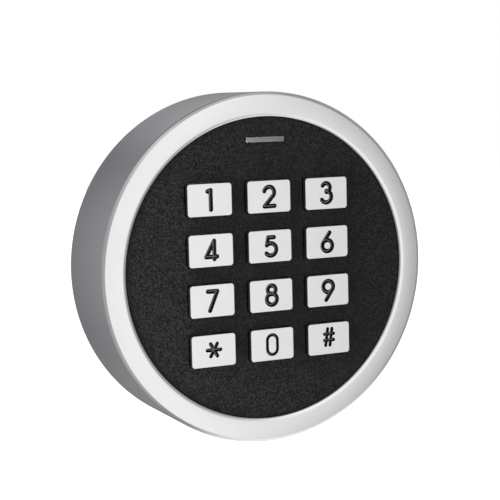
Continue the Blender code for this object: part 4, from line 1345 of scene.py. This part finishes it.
def make_floor():
    """A plain pale floor, well below the reader, which hangs at eye level."""
    half = 4.0
    floor_z = -0.25
    bm = bmesh.new()
    corners = [(-half, -half), (half, -half), (half, half), (-half, half)]
    bm.faces.new([bm.verts.new((x, y, floor_z)) for x, y in corners])
    g = Look("look_floor")
    cloud = g.noise(6.0, 2.0, 0.5)
    g.set(Base_Color=g.blend(cloud, grey(0.9), grey(0.94)), Roughness=0.8)
    g.set(Emission_Color=grey(1.0), Emission_Strength=1.1)
    floor = solid("floor", bm, g.material)
    floor.visible_glossy = False


def direction(azimuth, elevation):
    """A unit vector out from the object; azimuth 0 points to the viewer's side, 90 to the right."""
    a, e = math.radians(azimuth), math.radians(elevation)
    return (math.sin(a) * math.cos(e), -math.cos(a) * math.cos(e), math.sin(e))


# the wrap-round panel's brightness by azimuth, in degrees
PANEL_FADE = (
    (-180.0, 0.24), (-171.0, 0.21), (-162.0, 0.27), (-140.0, 0.27), (-100.0, 0.3), (-60.0, 0.32),
    (-42.0, 0.45), (-18.0, 1.03), (14.0, 1.03), (20.0, 1.15), (24.3, 1.01), (27.5, 0.86),
    (31.0, 0.79), (35.0, 0.65), (40.0, 0.5), (46.0, 0.4), (54.0, 0.35), (110.0, 0.36),
    (140.0, 0.26), (169.0, 0.26), (180.0, 0.24),
)
PANEL_DIM = 0.24
# the curve holds brightness over this range, lifted so that dips below the dim rest stay above 0
PANEL_RANGE = 1.5
PANEL_LIFT = 0.1
# the panel is full up to the first elevation and gone, but for the dim rest, at the second
PANEL_TOP = (38.0, 72.0)
# softer lights: azimuth, elevation, full to here, gone from here, brightness added
PATCHES = (
    (163.0, 24.0, 5.0, 22.0, 0.08),
    (-134.0, 8.0, 8.0, 20.0, 0.3),
    (30.0, 46.0, 8.0, 24.0, 0.25),
    (80.0, -62.0, 12.0, 36.0, 0.8),
    (-110.0, 76.0, 10.0, 34.0, -0.14),
)


def make_world():
    """A white backdrop for the camera, and soft panels for everything that reflects."""
    world = bpy.data.worlds.new("studio")
    bpy.context.scene.world = world
    world.use_nodes = True
    world.node_tree.nodes.clear()
    g = Graph(world.node_tree, "Generated")
    x, y, z = g.axes()
    turn = g.math("ARCTAN2", x, g.math("MULTIPLY", y, -1.0))
    curve = g.add("ShaderNodeFloatCurve")
    points = curve.mapping.curves[0].points
    while len(points) < len(PANEL_FADE):
        points.new(0.5, 0.5)
    for point, (degrees, value) in zip(points, PANEL_FADE):
        level = (value - PANEL_DIM) / PANEL_RANGE + PANEL_LIFT
        point.location = (degrees / 360.0 + 0.5, level)
        point.handle_type = "VECTOR"
    curve.mapping.update()
    g.feed(curve.inputs["Value"], g.math("ADD", g.math("DIVIDE", turn, math.tau), 0.5))
    level = g.math("SUBTRACT", curve.outputs[0], PANEL_LIFT)
    panel = g.math("MULTIPLY", level, PANEL_RANGE)
    full, gone = (math.sin(math.radians(elevation)) for elevation in PANEL_TOP)
    reach = g.spread(g.math("ABSOLUTE", z), 1.0, 0.0, full, gone, True)
    total = g.math("ADD", g.math("MULTIPLY", panel, reach), PANEL_DIM)
    for azimuth, elevation, full, gone, strength in PATCHES:
        toward = g.dot(g.place, direction(azimuth, elevation))
        near, far = math.cos(math.radians(full)), math.cos(math.radians(gone))
        total = g.math("ADD", total, g.spread(toward, 0.0, strength, far, near, True))
    soft = g.add("ShaderNodeBackground", {"Color": grey(1.0), "Strength": total}).outputs[0]
    white = g.add("ShaderNodeBackground", {"Color": grey(1.0)}).outputs[0]
    camera_ray = g.add("ShaderNodeLightPath").outputs["Is Camera Ray"]
    mix = g.add("ShaderNodeMixShader", {0: camera_ray, 1: soft, 2: white}).outputs[0]
    g.add("ShaderNodeOutputWorld", {"Surface": mix})


# name, azimuth, elevation, distance, width and height in metres, power in watts
LAMPS = (
    ("key_light", -68.0, -3.0, 0.2, 0.05, 0.22, 1.7),
    ("low_light", -62.0, -52.0, 0.16, 0.08, 0.08, 1.15),
    ("high_light", -62.0, 44.0, 0.2, 0.08, 0.08, 0.7),
    ("fill_light", 10.0, 50.0, 0.9, 0.7, 0.7, 0.2),
)


def make_softbox(name, azimuth, elevation, distance, width, height, power):
    """A soft light that faces the object's centre."""
    data = bpy.data.lights.new(name, "AREA")
    data.shape = "RECTANGLE"
    data.size = width
    data.size_y = height
    data.energy = power
    lamp = place(name, data)
    out = Vector(direction(azimuth, elevation))
    lamp.location = out * distance
    lamp.rotation_euler = out.to_track_quat("Z", "Y").to_euler()
    lamp.visible_glossy = False


CAMERA_AZIMUTH = -24.91
CAMERA_ELEVATION = 6.32
CAMERA_ROLL = -1.41
CAMERA_DISTANCE = 0.4529
CAMERA_LENS = 100.72
CAMERA_TARGET = (-6.89 * MM, -BEZEL_H, 6.61 * MM)


def make_camera():
    """The viewing angle: from the reader's left and slightly above, with a long lens."""
    data = bpy.data.cameras.new("camera")
    data.lens = CAMERA_LENS
    data.sensor_width = 36.0
    data.clip_start = 0.01
    camera = place("camera", data)
    back = Vector(direction(CAMERA_AZIMUTH, CAMERA_ELEVATION))
    camera.location = Vector(CAMERA_TARGET) + back * CAMERA_DISTANCE
    level = (-back).to_track_quat("-Z", "Y").to_matrix().to_4x4()
    roll = Matrix.Rotation(math.radians(CAMERA_ROLL), 4, "Z")
    camera.rotation_euler = (level @ roll).to_euler()
    bpy.context.scene.camera = camera


make_floor()
make_world()
for lamp in LAMPS:
    make_softbox(*lamp)
make_camera()
bpy.context.scene.view_settings.view_transform = "Standard"
